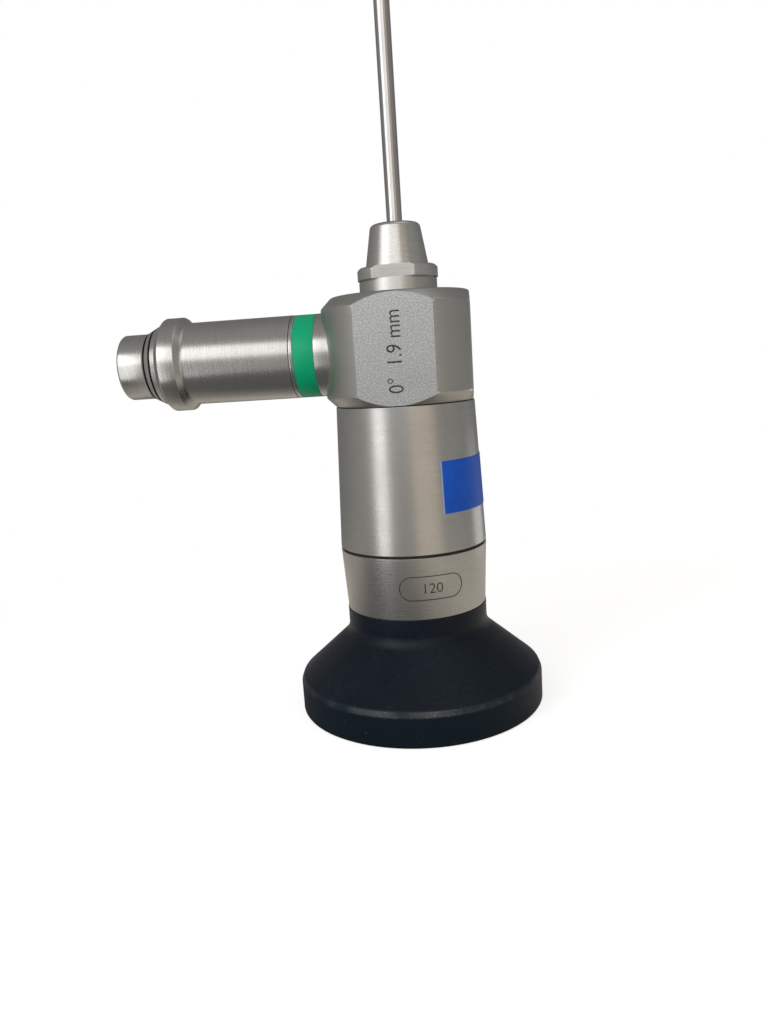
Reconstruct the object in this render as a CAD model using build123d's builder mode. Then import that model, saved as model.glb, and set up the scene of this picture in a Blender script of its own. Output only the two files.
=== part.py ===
from build123d import *
from math import cos, radians, sin
import os

# Rigid endoscope of small diameter, standing on its eyecup, in millimetres.
# The origin is the centre of the eyecup's rest face, on the optical axis. +Z runs up the
# shaft, the light post points along -X, and the marked flat of the block faces -Y.

os.makedirs("parts", exist_ok=True)

# Driving dimensions: eyecup
EYECUP_R = 16.0            # standard 32 mm eyecup
EYECUP_RIM_H = 3.9         # upright rim wall
EYECUP_BEVEL_H = 0.72      # worn bevel between rim wall and cone
EYECUP_BEVEL_W = 0.30
EYECUP_CONE_H = 5.73
EYECUP_NECK_R = 9.1
EYECUP_NECK_H = 3.13
EYECUP_FOOT_FILLET = 0.4
EYECUP_NECK_FILLET = 1.5
EYECUP_LIP_W = 3.4         # rest face, from the rim in to the mouth of the viewing funnel
FUNNEL_DEPTH = 5.2
FUNNEL_FILLET = 0.8
EYECUP_BORE_R = 7.0

# Driving dimensions: ocular ring, body sleeve and their joints
RING_R_LOW = 9.03
RING_R_TOP = 9.44
RING_H = 7.98              # from the eyecup to the middle of the lower joint
LOWER_GASKET_T = 0.35
SLEEVE_R_TOP = 8.77
SLEEVE_H = 18.06           # from the middle of one joint to the middle of the other
SLEEVE_WALL = 0.77         # at the upper, thinner end
UPPER_GASKET_T = 0.12
GASKET_INSET = 0.22        # how far a gasket's edge lies below the skin
SPIGOT_CHAMFER = 0.3
SPIGOT_CLEARANCE = 0.08    # radial room between a spigot and its bore
RING_SPIGOT_L = 5.0        # ocular ring's spigot inside the body sleeve
RING_TAIL_L = 4.8          # ocular ring's threaded tail inside the eyecup
RING_TAIL_WALL = 1.32

# Driving dimensions: housing block
BLOCK_R = 9.90
BLOCK_H = 13.27
BLOCK_TOP_CHAMFER = 1.40
BLOCK_LOW_CHAMFER = 1.15
FLAT_FRONT_DEPTH = 1.18    # marked flat, and its twin at the back
FLAT_SIDE_DEPTH = 1.26     # flat opposite the light post
FLAT_POST_DEPTH = 0.45     # narrow flat that the light post is seated in
NECK_R = 4.82
NECK_H = 1.77
BLOCK_SPIGOT_L = 5.4       # block's spigot inside the body sleeve
CHAMBER_R = 3.1
CHAMBER_ROOF_T = 2.75      # from the chamber's top to the block's

# Driving dimensions: cone socket that carries the shaft
FLANGE_R = 4.97
FLANGE_H = 1.50
FLANGE_FLAT_DEPTH = 0.72   # two spanner flats
FLANGE_TURN_DEG = -1.9     # where the socket came to rest when it was screwed home
FLANGE_CHAMFER = 0.30
CONE_R_LOW = 3.90
CONE_R_TOP = 3.03
CONE_H = 5.08
CONE_TOP_FILLET = 0.55
CONE_SPIGOT_R = 3.5
CONE_SPIGOT_ROOM = 0.4     # spigot's end stops this far above the chamber

# Driving dimensions: shaft and its optics
WORKING_LENGTH = 100.0
SHAFT_R = 0.95
SHAFT_WALL = 0.17
SHAFT_ROOT_R = 1.25        # thicker root inside the cone
SHAFT_ROOT_TAPER = 0.3     # root narrows to the shaft in the mouth of the cone's bore
OPTIC_TUBE_R = 0.62
OPTIC_TUBE_WALL = 0.08
BRAZE_GAP = 0.02
FIBRE_GAP = 0.01
WINDOW_T = 0.5
OBJECTIVE_T = 0.8
OBJECTIVE_COUNT = 3
OBJECTIVE_PITCH = 1.05
ROD_LENGTH = 20.3
ROD_GAP = 1.2
ROD_END_BULGE = 0.12
SPACER_WALL = 0.12

# Driving dimensions: ocular optics
WINDOW_SEAT_WALL = 1.3
WINDOW_SEAT_H = 3.2
WINDOW_SEAT_EDGE = 1.32    # seat's edge outside the window
EYEPIECE_WINDOW_T = 1.2
WINDOW_RECESS = 0.3        # window's face behind the funnel's floor
WINDOW_CHAMFER = 0.15
LENS_CELL_WALL = 0.85
LENS_CELL_H = 14.7
LOCK_RING_H = 1.0
LOCK_RING_INSET = 0.22     # lock ring inside the end of the ocular ring's tail
LOCK_RING_WALL = 1.1
EYE_LENS_T = 2.6
EYE_LENS_BULGE = 0.7
FIELD_LENS_T = 1.8
LENS_GAP = 2.0
LENS_SPACER_WALL = 0.4
RETAINER_H = 1.4
RETAINER_WALL = 0.75
FIELD_STOP_T = 0.5
FIELD_STOP_HOLE_R = 1.7
BUSH_H = 3.4
BUSH_FLANGE_H = 1.0
BUSH_NOSE_R = 2.4
BUSH_INSET = 0.6           # bush flange inside the spigot's edge
OPTIC_TUBE_SEAT = 1.0      # optic tube stops this far above the bush's lower face

# Driving dimensions: light post and its screwed adapter, as distances from the axis
POST_RISE = 6.49           # post's axis above the block's lower face
POST_R = 5.18
POST_SEAT_DEPTH = 1.7      # counterbore in the round of the block
POST_NECK_L = 0.46         # from the round of the block to the colour ring
COLOUR_RING_W = 2.61
COLOUR_RING_DEPTH = 0.6
POST_LIP_W = 0.47
POST_SPIGOT_R = 3.5
POST_SPIGOT_L = 3.4
CORE_R = 3.6               # core that carries the adapter's thread
CORE_L = 12.6
CORE_END_ROOM = 0.4        # room between the core's end and the adapter's step
FERRULE_R = 2.1
FERRULE_RECESS = 0.2       # ferrule's end inside the adapter's tip
BUNDLE_R = 0.8
BUNDLE_BEND_R = 2.4
BUNDLE_ROOM = 0.1          # room between the bundle and the optic tube
FIBRE_COLLAR_H = 0.6
FIBRE_COLLAR_R = 1.66
ADAPTER_R = 5.20
ADAPTER_L = 22.56
ADAPTER_FACE_GAP = 0.06
ADAPTER_RUN = 0.07         # radial running clearance on core and ferrule
COLLAR_R = 5.93
COLLAR_TIP_L = 8.19        # from the collar's full diameter to the adapter's end
COLLAR_W = 2.08
TIP_R = 4.17
TIP_L = 3.3
TIP_FILLET = 0.35
TIP_COUNTERSINK = 0.9
CONE_FOOT_R = 5.30         # grooved cone between collar and tip
CONE_FOOT_STEP = 0.16
GROOVE_OFFSETS = (0.80, 1.72)
GROOVE_W = 0.34
GROOVE_DEPTH = 0.35
LIGHT_WINDOW_R = 1.6
LIGHT_WINDOW_T = 1.0
SEAL_W = 0.70              # square seal ring in the core's groove
SEAL_OFFSET = 1.70         # its middle, from the adapter's face

# Driving dimensions: blue marking tape on the body sleeve
TAPE_T = 0.08
TAPE_RISE = 4.90           # above the middle of the lower joint
TAPE_H = 6.35
TAPE_START_DEG = -60.0
TAPE_SWEEP_DEG = 74.0

# Heights, worked out from the driving dimensions
EYECUP_H = EYECUP_RIM_H + EYECUP_BEVEL_H + EYECUP_CONE_H + EYECUP_NECK_H
LOWER_JOINT_Z = EYECUP_H + RING_H
UPPER_JOINT_Z = LOWER_JOINT_Z + SLEEVE_H
RING_LOW_Z = EYECUP_H - RING_TAIL_L
RING_TOP_Z = LOWER_JOINT_Z - LOWER_GASKET_T / 2
SLEEVE_LOW_Z = LOWER_JOINT_Z + LOWER_GASKET_T / 2
SLEEVE_TOP_Z = UPPER_JOINT_Z - UPPER_GASKET_T / 2
RING_HIGH_Z = SLEEVE_LOW_Z + RING_SPIGOT_L
BLOCK_LOW_Z = UPPER_JOINT_Z + UPPER_GASKET_T / 2
BLOCK_TOP_Z = BLOCK_LOW_Z + BLOCK_H
CHAMBER_TOP_Z = BLOCK_TOP_Z - CHAMBER_ROOF_T
NECK_TOP_Z = BLOCK_TOP_Z + NECK_H
CONE_TOP_Z = NECK_TOP_Z + FLANGE_H + CONE_H
TIP_Z = CONE_TOP_Z + WORKING_LENGTH
LENS_CELL_LOW_Z = RING_LOW_Z + LOCK_RING_INSET + LOCK_RING_H
CELL_TOP_Z = LENS_CELL_LOW_Z + LENS_CELL_H

# Radii, worked out from the driving dimensions
SLEEVE_BORE_R = SLEEVE_R_TOP - SLEEVE_WALL
SPIGOT_R = SLEEVE_BORE_R - SPIGOT_CLEARANCE
TAIL_R = EYECUP_BORE_R - SPIGOT_CLEARANCE
OCULAR_BORE_R = TAIL_R - RING_TAIL_WALL
CELL_R = OCULAR_BORE_R - SPIGOT_CLEARANCE
CELL_BORE_R = CELL_R - LENS_CELL_WALL
SHAFT_BORE_R = SHAFT_R - SHAFT_WALL
OPTIC_BORE_R = OPTIC_TUBE_R - OPTIC_TUBE_WALL
LENS_R = OPTIC_BORE_R - FIBRE_GAP

# Distances along the light post, worked out from the driving dimensions
POST_SEAT_S = BLOCK_R - POST_SEAT_DEPTH
COLOUR_RING_S = BLOCK_R + POST_NECK_L
POST_LIP_S = COLOUR_RING_S + COLOUR_RING_W
ADAPTER_S = POST_LIP_S + POST_LIP_W + ADAPTER_FACE_GAP
CORE_END_S = ADAPTER_S + CORE_L
ADAPTER_TIP_S = ADAPTER_S + ADAPTER_L
COLLAR_S = ADAPTER_TIP_S - COLLAR_TIP_L

# The light post's own axis, and the plane of its outlines: distance along X, radius along Y
POST_Z = BLOCK_LOW_Z + POST_RISE
POST_AXIS = Axis((0, 0, POST_Z), (-1, 0, 0))
POST_PROFILE = Plane(origin=(0, 0, POST_Z), x_dir=(-1, 0, 0), z_dir=(0, 1, 0))
POST_END = Plane(origin=(0, 0, POST_Z), x_dir=(0, 1, 0), z_dir=(-1, 0, 0))


def sleeve_radius(z):
    """Outer radius of the tapered body sleeve at height z."""
    share = (z - LOWER_JOINT_Z) / (UPPER_JOINT_Z - LOWER_JOINT_Z)
    return RING_R_TOP + (SLEEVE_R_TOP - RING_R_TOP) * share


def outline(points, plane=Plane.XZ):
    """Closed straight-sided outline on a plane, ready to be revolved."""
    with BuildSketch(plane) as profile:
        with BuildLine():
            Polyline(*points, close=True)
        make_face()
    return profile.sketch


def lens_section(radius, low, high, low_bulge, high_bulge):
    """Half section of a lens about the optical axis, with a bulge on each face or none."""
    with BuildSketch(Plane.XZ) as section:
        with BuildLine():
            left_low, right_low = (-radius, low + low_bulge), (radius, low + low_bulge)
            left_high, right_high = (-radius, high - high_bulge), (radius, high - high_bulge)
            if low_bulge:
                ThreePointArc(left_low, (0, low), right_low)
            else:
                Line(left_low, right_low)
            Line(right_low, right_high)
            if high_bulge:
                ThreePointArc(right_high, (0, high), left_high)
            else:
                Line(right_high, left_high)
            Line(left_high, left_low)
        make_face()
        with Locations((-radius, (low + high) / 2)):
            Rectangle(2 * radius, 2 * (high - low), mode=Mode.SUBTRACT)
    return section.sketch


def circle_edges_at(part, radius, z):
    """Circular edges about the optical axis with this radius at this height."""
    found = part.edges().filter_by(GeomType.CIRCLE)
    return [e for e in found
            if abs(e.radius - radius) < 0.001 and abs(e.center().Z - z) < 0.001]


def flat_cut(turn_deg, distance, low, height):
    """Mill a flat on the open part, at this distance from the optical axis, facing this way."""
    across = Vector(cos(radians(turn_deg)), sin(radians(turn_deg)), 0)
    reach = 3 * distance
    with BuildPart(mode=Mode.PRIVATE) as cutter:
        with BuildSketch(Plane(origin=across * distance, x_dir=(0, 0, 1), z_dir=across)):
            with Locations((low + height / 2, 0)):
                Rectangle(height, reach)
        extrude(amount=reach)
    add(cutter.part, mode=Mode.SUBTRACT)


def finish(part, node):
    """Label a piece and write its STEP file."""
    part.label = node
    export_step(part, f"parts/{node}.step")


# Eyecup: moulded black cup with a conical skirt, an upright rim and a viewing funnel
bevel_top = EYECUP_RIM_H + EYECUP_BEVEL_H
cone_top = bevel_top + EYECUP_CONE_H
funnel_mouth_r = EYECUP_R - EYECUP_LIP_W
with BuildPart() as eyecup:
    revolve(outline([
        (funnel_mouth_r, 0),
        (EYECUP_R, 0),
        (EYECUP_R, EYECUP_RIM_H),
        (EYECUP_R - EYECUP_BEVEL_W, bevel_top),
        (EYECUP_NECK_R, cone_top),
        (EYECUP_NECK_R, EYECUP_H),
        (EYECUP_BORE_R, EYECUP_H),
        (EYECUP_BORE_R, FUNNEL_DEPTH),
    ]), axis=Axis.Z)
    fillet(circle_edges_at(eyecup, EYECUP_R, 0), EYECUP_FOOT_FILLET)
    fillet(circle_edges_at(eyecup, funnel_mouth_r, 0), FUNNEL_FILLET)
    fillet(circle_edges_at(eyecup, EYECUP_NECK_R, cone_top), EYECUP_NECK_FILLET)
finish(eyecup.part, "eyecup")

# Window seat: ring at the bottom of the funnel, with an open pocket for the window
seat_top = FUNNEL_DEPTH + WINDOW_SEAT_H
window_r = TAIL_R - WINDOW_SEAT_EDGE
pocket_r = window_r + BRAZE_GAP
pocket_top = FUNNEL_DEPTH + EYEPIECE_WINDOW_T + WINDOW_RECESS
with BuildPart() as window_seat:
    revolve(outline([
        (pocket_r, FUNNEL_DEPTH),
        (TAIL_R, FUNNEL_DEPTH),
        (TAIL_R, seat_top),
        (pocket_r - WINDOW_SEAT_WALL, seat_top),
        (pocket_r - WINDOW_SEAT_WALL, pocket_top),
        (pocket_r, pocket_top),
    ]), axis=Axis.Z)
finish(window_seat.part, "window_seat")

# Eyepiece window: flat disc soldered into the seat's pocket
with BuildPart() as eyepiece_window:
    with BuildSketch(Plane.XY.offset(pocket_top - EYEPIECE_WINDOW_T)):
        Circle(window_r)
    extrude(amount=EYEPIECE_WINDOW_T)
    chamfer(eyepiece_window.faces().sort_by(Axis.Z)[0].edges(), WINDOW_CHAMFER)
finish(eyepiece_window.part, "eyepiece_window")

# Ocular ring: steel ring with a tail in the eyecup and a spigot in the body sleeve
with BuildPart() as ocular_ring:
    revolve(outline([
        (OCULAR_BORE_R, RING_LOW_Z),
        (TAIL_R, RING_LOW_Z),
        (TAIL_R, EYECUP_H),
        (RING_R_LOW, EYECUP_H),
        (RING_R_TOP, RING_TOP_Z),
        (SPIGOT_R, RING_TOP_Z),
        (SPIGOT_R, RING_HIGH_Z),
        (OCULAR_BORE_R, RING_HIGH_Z),
    ]), axis=Axis.Z)
    chamfer(circle_edges_at(ocular_ring, SPIGOT_R, RING_HIGH_Z), SPIGOT_CHAMFER)
finish(ocular_ring.part, "ocular_ring")

# Lower gasket: dark ring in the joint between ocular ring and body sleeve
with BuildPart() as lower_gasket:
    with BuildSketch(Plane.XY.offset(RING_TOP_Z)):
        Circle(RING_R_TOP - GASKET_INSET)
        Circle(SPIGOT_R + BRAZE_GAP, mode=Mode.SUBTRACT)
    extrude(amount=LOWER_GASKET_T)
finish(lower_gasket.part, "lower_gasket")

# Lens cell: tube that slides in the ocular ring and carries the ocular lenses
with BuildPart() as lens_cell:
    with BuildSketch(Plane.XY.offset(LENS_CELL_LOW_Z)):
        Circle(CELL_R)
        Circle(CELL_BORE_R, mode=Mode.SUBTRACT)
    extrude(amount=LENS_CELL_H)
finish(lens_cell.part, "lens_cell")

# Cell lock ring: screwed in below the lens cell, with two slots for a spanner
with BuildPart() as cell_lock_ring:
    with BuildSketch(Plane.XY.offset(LENS_CELL_LOW_Z - LOCK_RING_H)):
        Circle(CELL_R)
        Circle(CELL_R - LOCK_RING_WALL, mode=Mode.SUBTRACT)
        with PolarLocations(CELL_R - LOCK_RING_WALL, 2):
            Rectangle(LOCK_RING_WALL, LOCK_RING_WALL, mode=Mode.SUBTRACT)
    extrude(amount=LOCK_RING_H)
finish(cell_lock_ring.part, "cell_lock_ring")

# Lens retainer: ring screwed into the eye end of the lens cell
eye_lens_low = LENS_CELL_LOW_Z + RETAINER_H
with BuildPart() as lens_retainer:
    with BuildSketch(Plane.XY.offset(LENS_CELL_LOW_Z)):
        Circle(CELL_BORE_R - BRAZE_GAP)
        Circle(CELL_BORE_R - RETAINER_WALL, mode=Mode.SUBTRACT)
    extrude(amount=RETAINER_H)
finish(lens_retainer.part, "lens_retainer")

# Ocular lenses: a biconvex eye lens and a plano-convex field lens
ocular_lens_r = CELL_BORE_R - BRAZE_GAP
eye_lens_top = eye_lens_low + EYE_LENS_T
field_lens_low = eye_lens_top + LENS_GAP
field_lens_top = field_lens_low + FIELD_LENS_T
with BuildPart() as ocular_lenses:
    revolve(lens_section(ocular_lens_r, eye_lens_low, eye_lens_top,
                         EYE_LENS_BULGE, EYE_LENS_BULGE), axis=Axis.Z)
    revolve(lens_section(ocular_lens_r, field_lens_low, field_lens_top,
                         EYE_LENS_BULGE, 0), axis=Axis.Z)
finish(ocular_lenses.part, "ocular_lenses")

# Lens spacer: thin tube that holds the two ocular lenses apart at their edges
spacer_bore_r = ocular_lens_r - LENS_SPACER_WALL
seat_drop = EYE_LENS_BULGE * (spacer_bore_r / ocular_lens_r) ** 2
with BuildPart() as lens_spacer:
    with BuildSketch(Plane.XY.offset(eye_lens_top - seat_drop)):
        Circle(ocular_lens_r)
        Circle(spacer_bore_r, mode=Mode.SUBTRACT)
    extrude(amount=LENS_GAP + 2 * seat_drop)
finish(lens_spacer.part, "lens_spacer")

# Field stop: disc with the round mask that gives the picture its edge
field_stop_low = CELL_TOP_Z - FIELD_STOP_T
with BuildPart() as field_stop:
    with BuildSketch(Plane.XY.offset(field_stop_low)):
        Circle(ocular_lens_r)
        Circle(FIELD_STOP_HOLE_R, mode=Mode.SUBTRACT)
    extrude(amount=FIELD_STOP_T)
finish(field_stop.part, "field_stop")

# Stop spacer: tube from the field lens up to the field stop
with BuildPart() as stop_spacer:
    with BuildSketch(Plane.XY.offset(field_lens_top)):
        Circle(ocular_lens_r)
        Circle(spacer_bore_r, mode=Mode.SUBTRACT)
    extrude(amount=field_stop_low - field_lens_top)
finish(stop_spacer.part, "stop_spacer")

# Optic bush: flanged bush in the ocular ring that centres the lower end of the optic tube
bush_low = CELL_TOP_Z
bush_flange_low = RING_HIGH_Z
with BuildPart() as optic_bush:
    revolve(outline([
        (OPTIC_TUBE_R + BRAZE_GAP, bush_low),
        (CELL_R, bush_low),
        (CELL_R, bush_flange_low),
        (SPIGOT_R - BUSH_INSET, bush_flange_low),
        (SPIGOT_R - BUSH_INSET, bush_flange_low + BUSH_FLANGE_H),
        (BUSH_NOSE_R, bush_flange_low + BUSH_H),
        (OPTIC_TUBE_R + BRAZE_GAP, bush_flange_low + BUSH_H),
    ]), axis=Axis.Z)
finish(optic_bush.part, "optic_bush")

# Body sleeve: tapered steel grip between the two joints, with a plain bore
with BuildPart() as body_sleeve:
    revolve(outline([
        (SLEEVE_BORE_R, SLEEVE_LOW_Z),
        (sleeve_radius(SLEEVE_LOW_Z), SLEEVE_LOW_Z),
        (sleeve_radius(SLEEVE_TOP_Z), SLEEVE_TOP_Z),
        (SLEEVE_BORE_R, SLEEVE_TOP_Z),
    ]), axis=Axis.Z)
finish(body_sleeve.part, "body_sleeve")

# Marking tape: thin blue patch wrapped part of the way round the body sleeve
tape_low = LOWER_JOINT_Z + TAPE_RISE
tape_top = tape_low + TAPE_H
with BuildPart() as marking_tape:
    tape_plane = Plane.XZ.rotated((0, 0, TAPE_START_DEG))
    tape_section = outline([
        (sleeve_radius(tape_low), tape_low),
        (sleeve_radius(tape_low) + TAPE_T, tape_low),
        (sleeve_radius(tape_top) + TAPE_T, tape_top),
        (sleeve_radius(tape_top), tape_top),
    ], tape_plane)
    revolve(tape_section, axis=Axis.Z, revolution_arc=TAPE_SWEEP_DEG)
finish(marking_tape.part, "marking_tape")

# Upper gasket: thin dark ring in the joint between body sleeve and block
with BuildPart() as upper_gasket:
    with BuildSketch(Plane.XY.offset(SLEEVE_TOP_Z)):
        Circle(SLEEVE_R_TOP - GASKET_INSET)
        Circle(SPIGOT_R + BRAZE_GAP, mode=Mode.SUBTRACT)
    extrude(amount=UPPER_GASKET_T)
finish(upper_gasket.part, "upper_gasket")

# Housing block: turned, chamfered like a nut, with four milled flats, a neck for the cone
# socket and a counterbore for the light post
socket_bore_r = CONE_SPIGOT_R + SPIGOT_CLEARANCE
post_bore_r = POST_SPIGOT_R + SPIGOT_CLEARANCE
with BuildPart() as housing_block:
    revolve(outline([
        (CHAMBER_R, BLOCK_LOW_Z - BLOCK_SPIGOT_L),
        (SPIGOT_R, BLOCK_LOW_Z - BLOCK_SPIGOT_L),
        (SPIGOT_R, BLOCK_LOW_Z),
        (BLOCK_R - BLOCK_LOW_CHAMFER, BLOCK_LOW_Z),
        (BLOCK_R, BLOCK_LOW_Z + BLOCK_LOW_CHAMFER),
        (BLOCK_R, BLOCK_TOP_Z - BLOCK_TOP_CHAMFER),
        (BLOCK_R - BLOCK_TOP_CHAMFER, BLOCK_TOP_Z),
        (NECK_R, BLOCK_TOP_Z),
        (NECK_R, NECK_TOP_Z),
        (socket_bore_r, NECK_TOP_Z),
        (socket_bore_r, CHAMBER_TOP_Z),
        (CHAMBER_R, CHAMBER_TOP_Z),
    ]), axis=Axis.Z)
    for flat_deg, flat_depth in ((0, FLAT_SIDE_DEPTH), (90, FLAT_FRONT_DEPTH),
                                 (180, FLAT_POST_DEPTH), (270, FLAT_FRONT_DEPTH)):
        flat_cut(flat_deg, BLOCK_R - flat_depth, BLOCK_LOW_Z, BLOCK_H)
    with BuildSketch(POST_END.offset(POST_SEAT_S)):
        Circle(POST_R + BRAZE_GAP)
    extrude(amount=BLOCK_R, mode=Mode.SUBTRACT)
    with BuildSketch(POST_END):
        Circle(post_bore_r)
    extrude(amount=BLOCK_R, mode=Mode.SUBTRACT)
finish(housing_block.part, "housing_block")

# Cone socket: flange with two spanner flats, a blunt cone and a spigot in the block's neck
flange_top_z = NECK_TOP_Z + FLANGE_H
root_hole_r = SHAFT_ROOT_R + BRAZE_GAP
with BuildPart() as cone_socket:
    revolve(outline([
        (root_hole_r, CHAMBER_TOP_Z + CONE_SPIGOT_ROOM),
        (CONE_SPIGOT_R, CHAMBER_TOP_Z + CONE_SPIGOT_ROOM),
        (CONE_SPIGOT_R, NECK_TOP_Z),
        (FLANGE_R, NECK_TOP_Z),
        (FLANGE_R, flange_top_z),
        (CONE_R_LOW, flange_top_z),
        (CONE_R_TOP, CONE_TOP_Z),
        (root_hole_r, CONE_TOP_Z),
    ]), axis=Axis.Z)
    chamfer(circle_edges_at(cone_socket, FLANGE_R, flange_top_z), FLANGE_CHAMFER)
    fillet(circle_edges_at(cone_socket, CONE_R_TOP, CONE_TOP_Z), CONE_TOP_FILLET)
    for flat_deg in (90 + FLANGE_TURN_DEG, 270 + FLANGE_TURN_DEG):
        flat_cut(flat_deg, FLANGE_R - FLANGE_FLAT_DEPTH, NECK_TOP_Z, FLANGE_H)
finish(cone_socket.part, "cone_socket")

# Shaft tube: long thin outer tube with a thicker root, brazed into the cone socket
with BuildPart() as shaft_tube:
    revolve(outline([
        (SHAFT_BORE_R, CHAMBER_TOP_Z),
        (SHAFT_ROOT_R, CHAMBER_TOP_Z),
        (SHAFT_ROOT_R, CONE_TOP_Z - SHAFT_ROOT_TAPER),
        (SHAFT_R, CONE_TOP_Z),
        (SHAFT_R, TIP_Z),
        (SHAFT_BORE_R, TIP_Z),
    ]), axis=Axis.Z)
finish(shaft_tube.part, "shaft_tube")

# Optic tube: inner tube from the ocular to the tip, which holds the rod lenses
optic_low_z = bush_low + OPTIC_TUBE_SEAT
with BuildPart() as optic_tube:
    with BuildSketch(Plane.XY.offset(optic_low_z)):
        Circle(OPTIC_TUBE_R)
        Circle(OPTIC_BORE_R, mode=Mode.SUBTRACT)
    extrude(amount=TIP_Z - optic_low_z)
finish(optic_tube.part, "optic_tube")

# Shaft fibres: ring of light fibres that fills the room between the two tubes
with BuildPart() as shaft_fibres:
    with BuildSketch(Plane.XY.offset(CHAMBER_TOP_Z)):
        Circle(SHAFT_BORE_R - FIBRE_GAP)
        Circle(OPTIC_TUBE_R + FIBRE_GAP, mode=Mode.SUBTRACT)
    extrude(amount=TIP_Z - CHAMBER_TOP_Z)
finish(shaft_fibres.part, "shaft_fibres")

# Distal window: small flat disc that closes the optic tube at the tip
with BuildPart() as distal_window:
    with BuildSketch(Plane.XY.offset(TIP_Z - WINDOW_T)):
        Circle(LENS_R)
    extrude(amount=WINDOW_T)
finish(distal_window.part, "distal_window")

# Objective lenses: short row of tiny lenses behind the distal window
objective_low_z = TIP_Z - WINDOW_T - OBJECTIVE_COUNT * OBJECTIVE_PITCH
with BuildPart() as objective_lenses:
    for index in range(OBJECTIVE_COUNT):
        lens_low = objective_low_z + index * OBJECTIVE_PITCH
        revolve(lens_section(LENS_R, lens_low, lens_low + OBJECTIVE_T, 0, ROD_END_BULGE),
                axis=Axis.Z)
finish(objective_lenses.part, "objective_lenses")

# Rod lenses: row of long glass rods with bulged ends, from the objective to the ocular
rod_pitch = ROD_LENGTH + ROD_GAP
rod_top_z = objective_low_z - ROD_GAP
rod_count = int((rod_top_z - optic_low_z) / rod_pitch)
with BuildPart() as rod_lenses:
    for index in range(rod_count):
        rod_high = rod_top_z - index * rod_pitch
        revolve(lens_section(LENS_R, rod_high - ROD_LENGTH, rod_high,
                             ROD_END_BULGE, ROD_END_BULGE), axis=Axis.Z)
finish(rod_lenses.part, "rod_lenses")

# Rod spacers: thin tubes that keep the rods apart at their rims
rod_seat_drop = ROD_END_BULGE * ((LENS_R - SPACER_WALL) / LENS_R) ** 2
with BuildPart() as rod_spacers:
    for index in range(rod_count):
        spacer_low = rod_top_z - index * rod_pitch - rod_seat_drop
        spacer_high = rod_top_z - index * rod_pitch + ROD_GAP + (rod_seat_drop if index else 0)
        with BuildSketch(Plane.XY.offset(spacer_low)):
            Circle(LENS_R)
            Circle(LENS_R - SPACER_WALL, mode=Mode.SUBTRACT)
        extrude(amount=spacer_high - spacer_low)
finish(rod_spacers.part, "rod_spacers")

# Light post: root in the block, groove for the colour ring, lip and threaded core
ferrule_hole_r = FERRULE_R + BRAZE_GAP
ring_floor_r = POST_R - COLOUR_RING_DEPTH
adapter_face_s = POST_LIP_S + POST_LIP_W
seal_floor_r = CORE_R - SEAL_W
seal_low_s = ADAPTER_S + SEAL_OFFSET - SEAL_W / 2
seal_high_s = seal_low_s + SEAL_W
with BuildPart() as light_post:
    revolve(outline([
        (POST_SEAT_S - POST_SPIGOT_L, ferrule_hole_r),
        (POST_SEAT_S - POST_SPIGOT_L, POST_SPIGOT_R),
        (POST_SEAT_S, POST_SPIGOT_R),
        (POST_SEAT_S, POST_R),
        (COLOUR_RING_S, POST_R),
        (COLOUR_RING_S, ring_floor_r),
        (POST_LIP_S, ring_floor_r),
        (POST_LIP_S, POST_R),
        (adapter_face_s, POST_R),
        (adapter_face_s, CORE_R),
        (seal_low_s, CORE_R),
        (seal_low_s, seal_floor_r),
        (seal_high_s, seal_floor_r),
        (seal_high_s, CORE_R),
        (CORE_END_S, CORE_R),
        (CORE_END_S, ferrule_hole_r),
    ], POST_PROFILE), axis=POST_AXIS)
finish(light_post.part, "light_post")

# Colour ring: green ring set flush in the post's groove
with BuildPart() as colour_ring:
    revolve(outline([
        (COLOUR_RING_S + BRAZE_GAP, ring_floor_r + BRAZE_GAP),
        (COLOUR_RING_S + BRAZE_GAP, POST_R),
        (POST_LIP_S - BRAZE_GAP, POST_R),
        (POST_LIP_S - BRAZE_GAP, ring_floor_r + BRAZE_GAP),
    ], POST_PROFILE), axis=POST_AXIS)
finish(colour_ring.part, "colour_ring")

# Adapter seal: square rubber ring in the groove of the core
with BuildPart() as adapter_seal:
    revolve(outline([
        (seal_low_s + BRAZE_GAP, seal_floor_r + BRAZE_GAP),
        (seal_low_s + BRAZE_GAP, CORE_R),
        (seal_high_s - BRAZE_GAP, CORE_R),
        (seal_high_s - BRAZE_GAP, seal_floor_r + BRAZE_GAP),
    ], POST_PROFILE), axis=POST_AXIS)
finish(adapter_seal.part, "adapter_seal")

# Fibre ferrule: steel tube through post and adapter, which ends in a pocket for the window
ferrule_tip_s = ADAPTER_TIP_S - FERRULE_RECESS
window_pocket_s = ferrule_tip_s - LIGHT_WINDOW_T - BRAZE_GAP
bundle_hole_r = BUNDLE_R + BRAZE_GAP
with BuildPart() as fibre_ferrule:
    revolve(outline([
        (POST_SEAT_S - POST_SPIGOT_L, bundle_hole_r),
        (POST_SEAT_S - POST_SPIGOT_L, FERRULE_R),
        (ferrule_tip_s, FERRULE_R),
        (ferrule_tip_s, LIGHT_WINDOW_R + BRAZE_GAP),
        (window_pocket_s, LIGHT_WINDOW_R + BRAZE_GAP),
        (window_pocket_s, bundle_hole_r),
    ], POST_PROFILE), axis=POST_AXIS)
finish(fibre_ferrule.part, "fibre_ferrule")

# Light window: glass disc in the ferrule's end that takes the light from the cable
with BuildPart() as light_window:
    with BuildSketch(POST_END.offset(ferrule_tip_s - LIGHT_WINDOW_T)):
        Circle(LIGHT_WINDOW_R)
    extrude(amount=LIGHT_WINDOW_T)
finish(light_window.part, "light_window")

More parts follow.
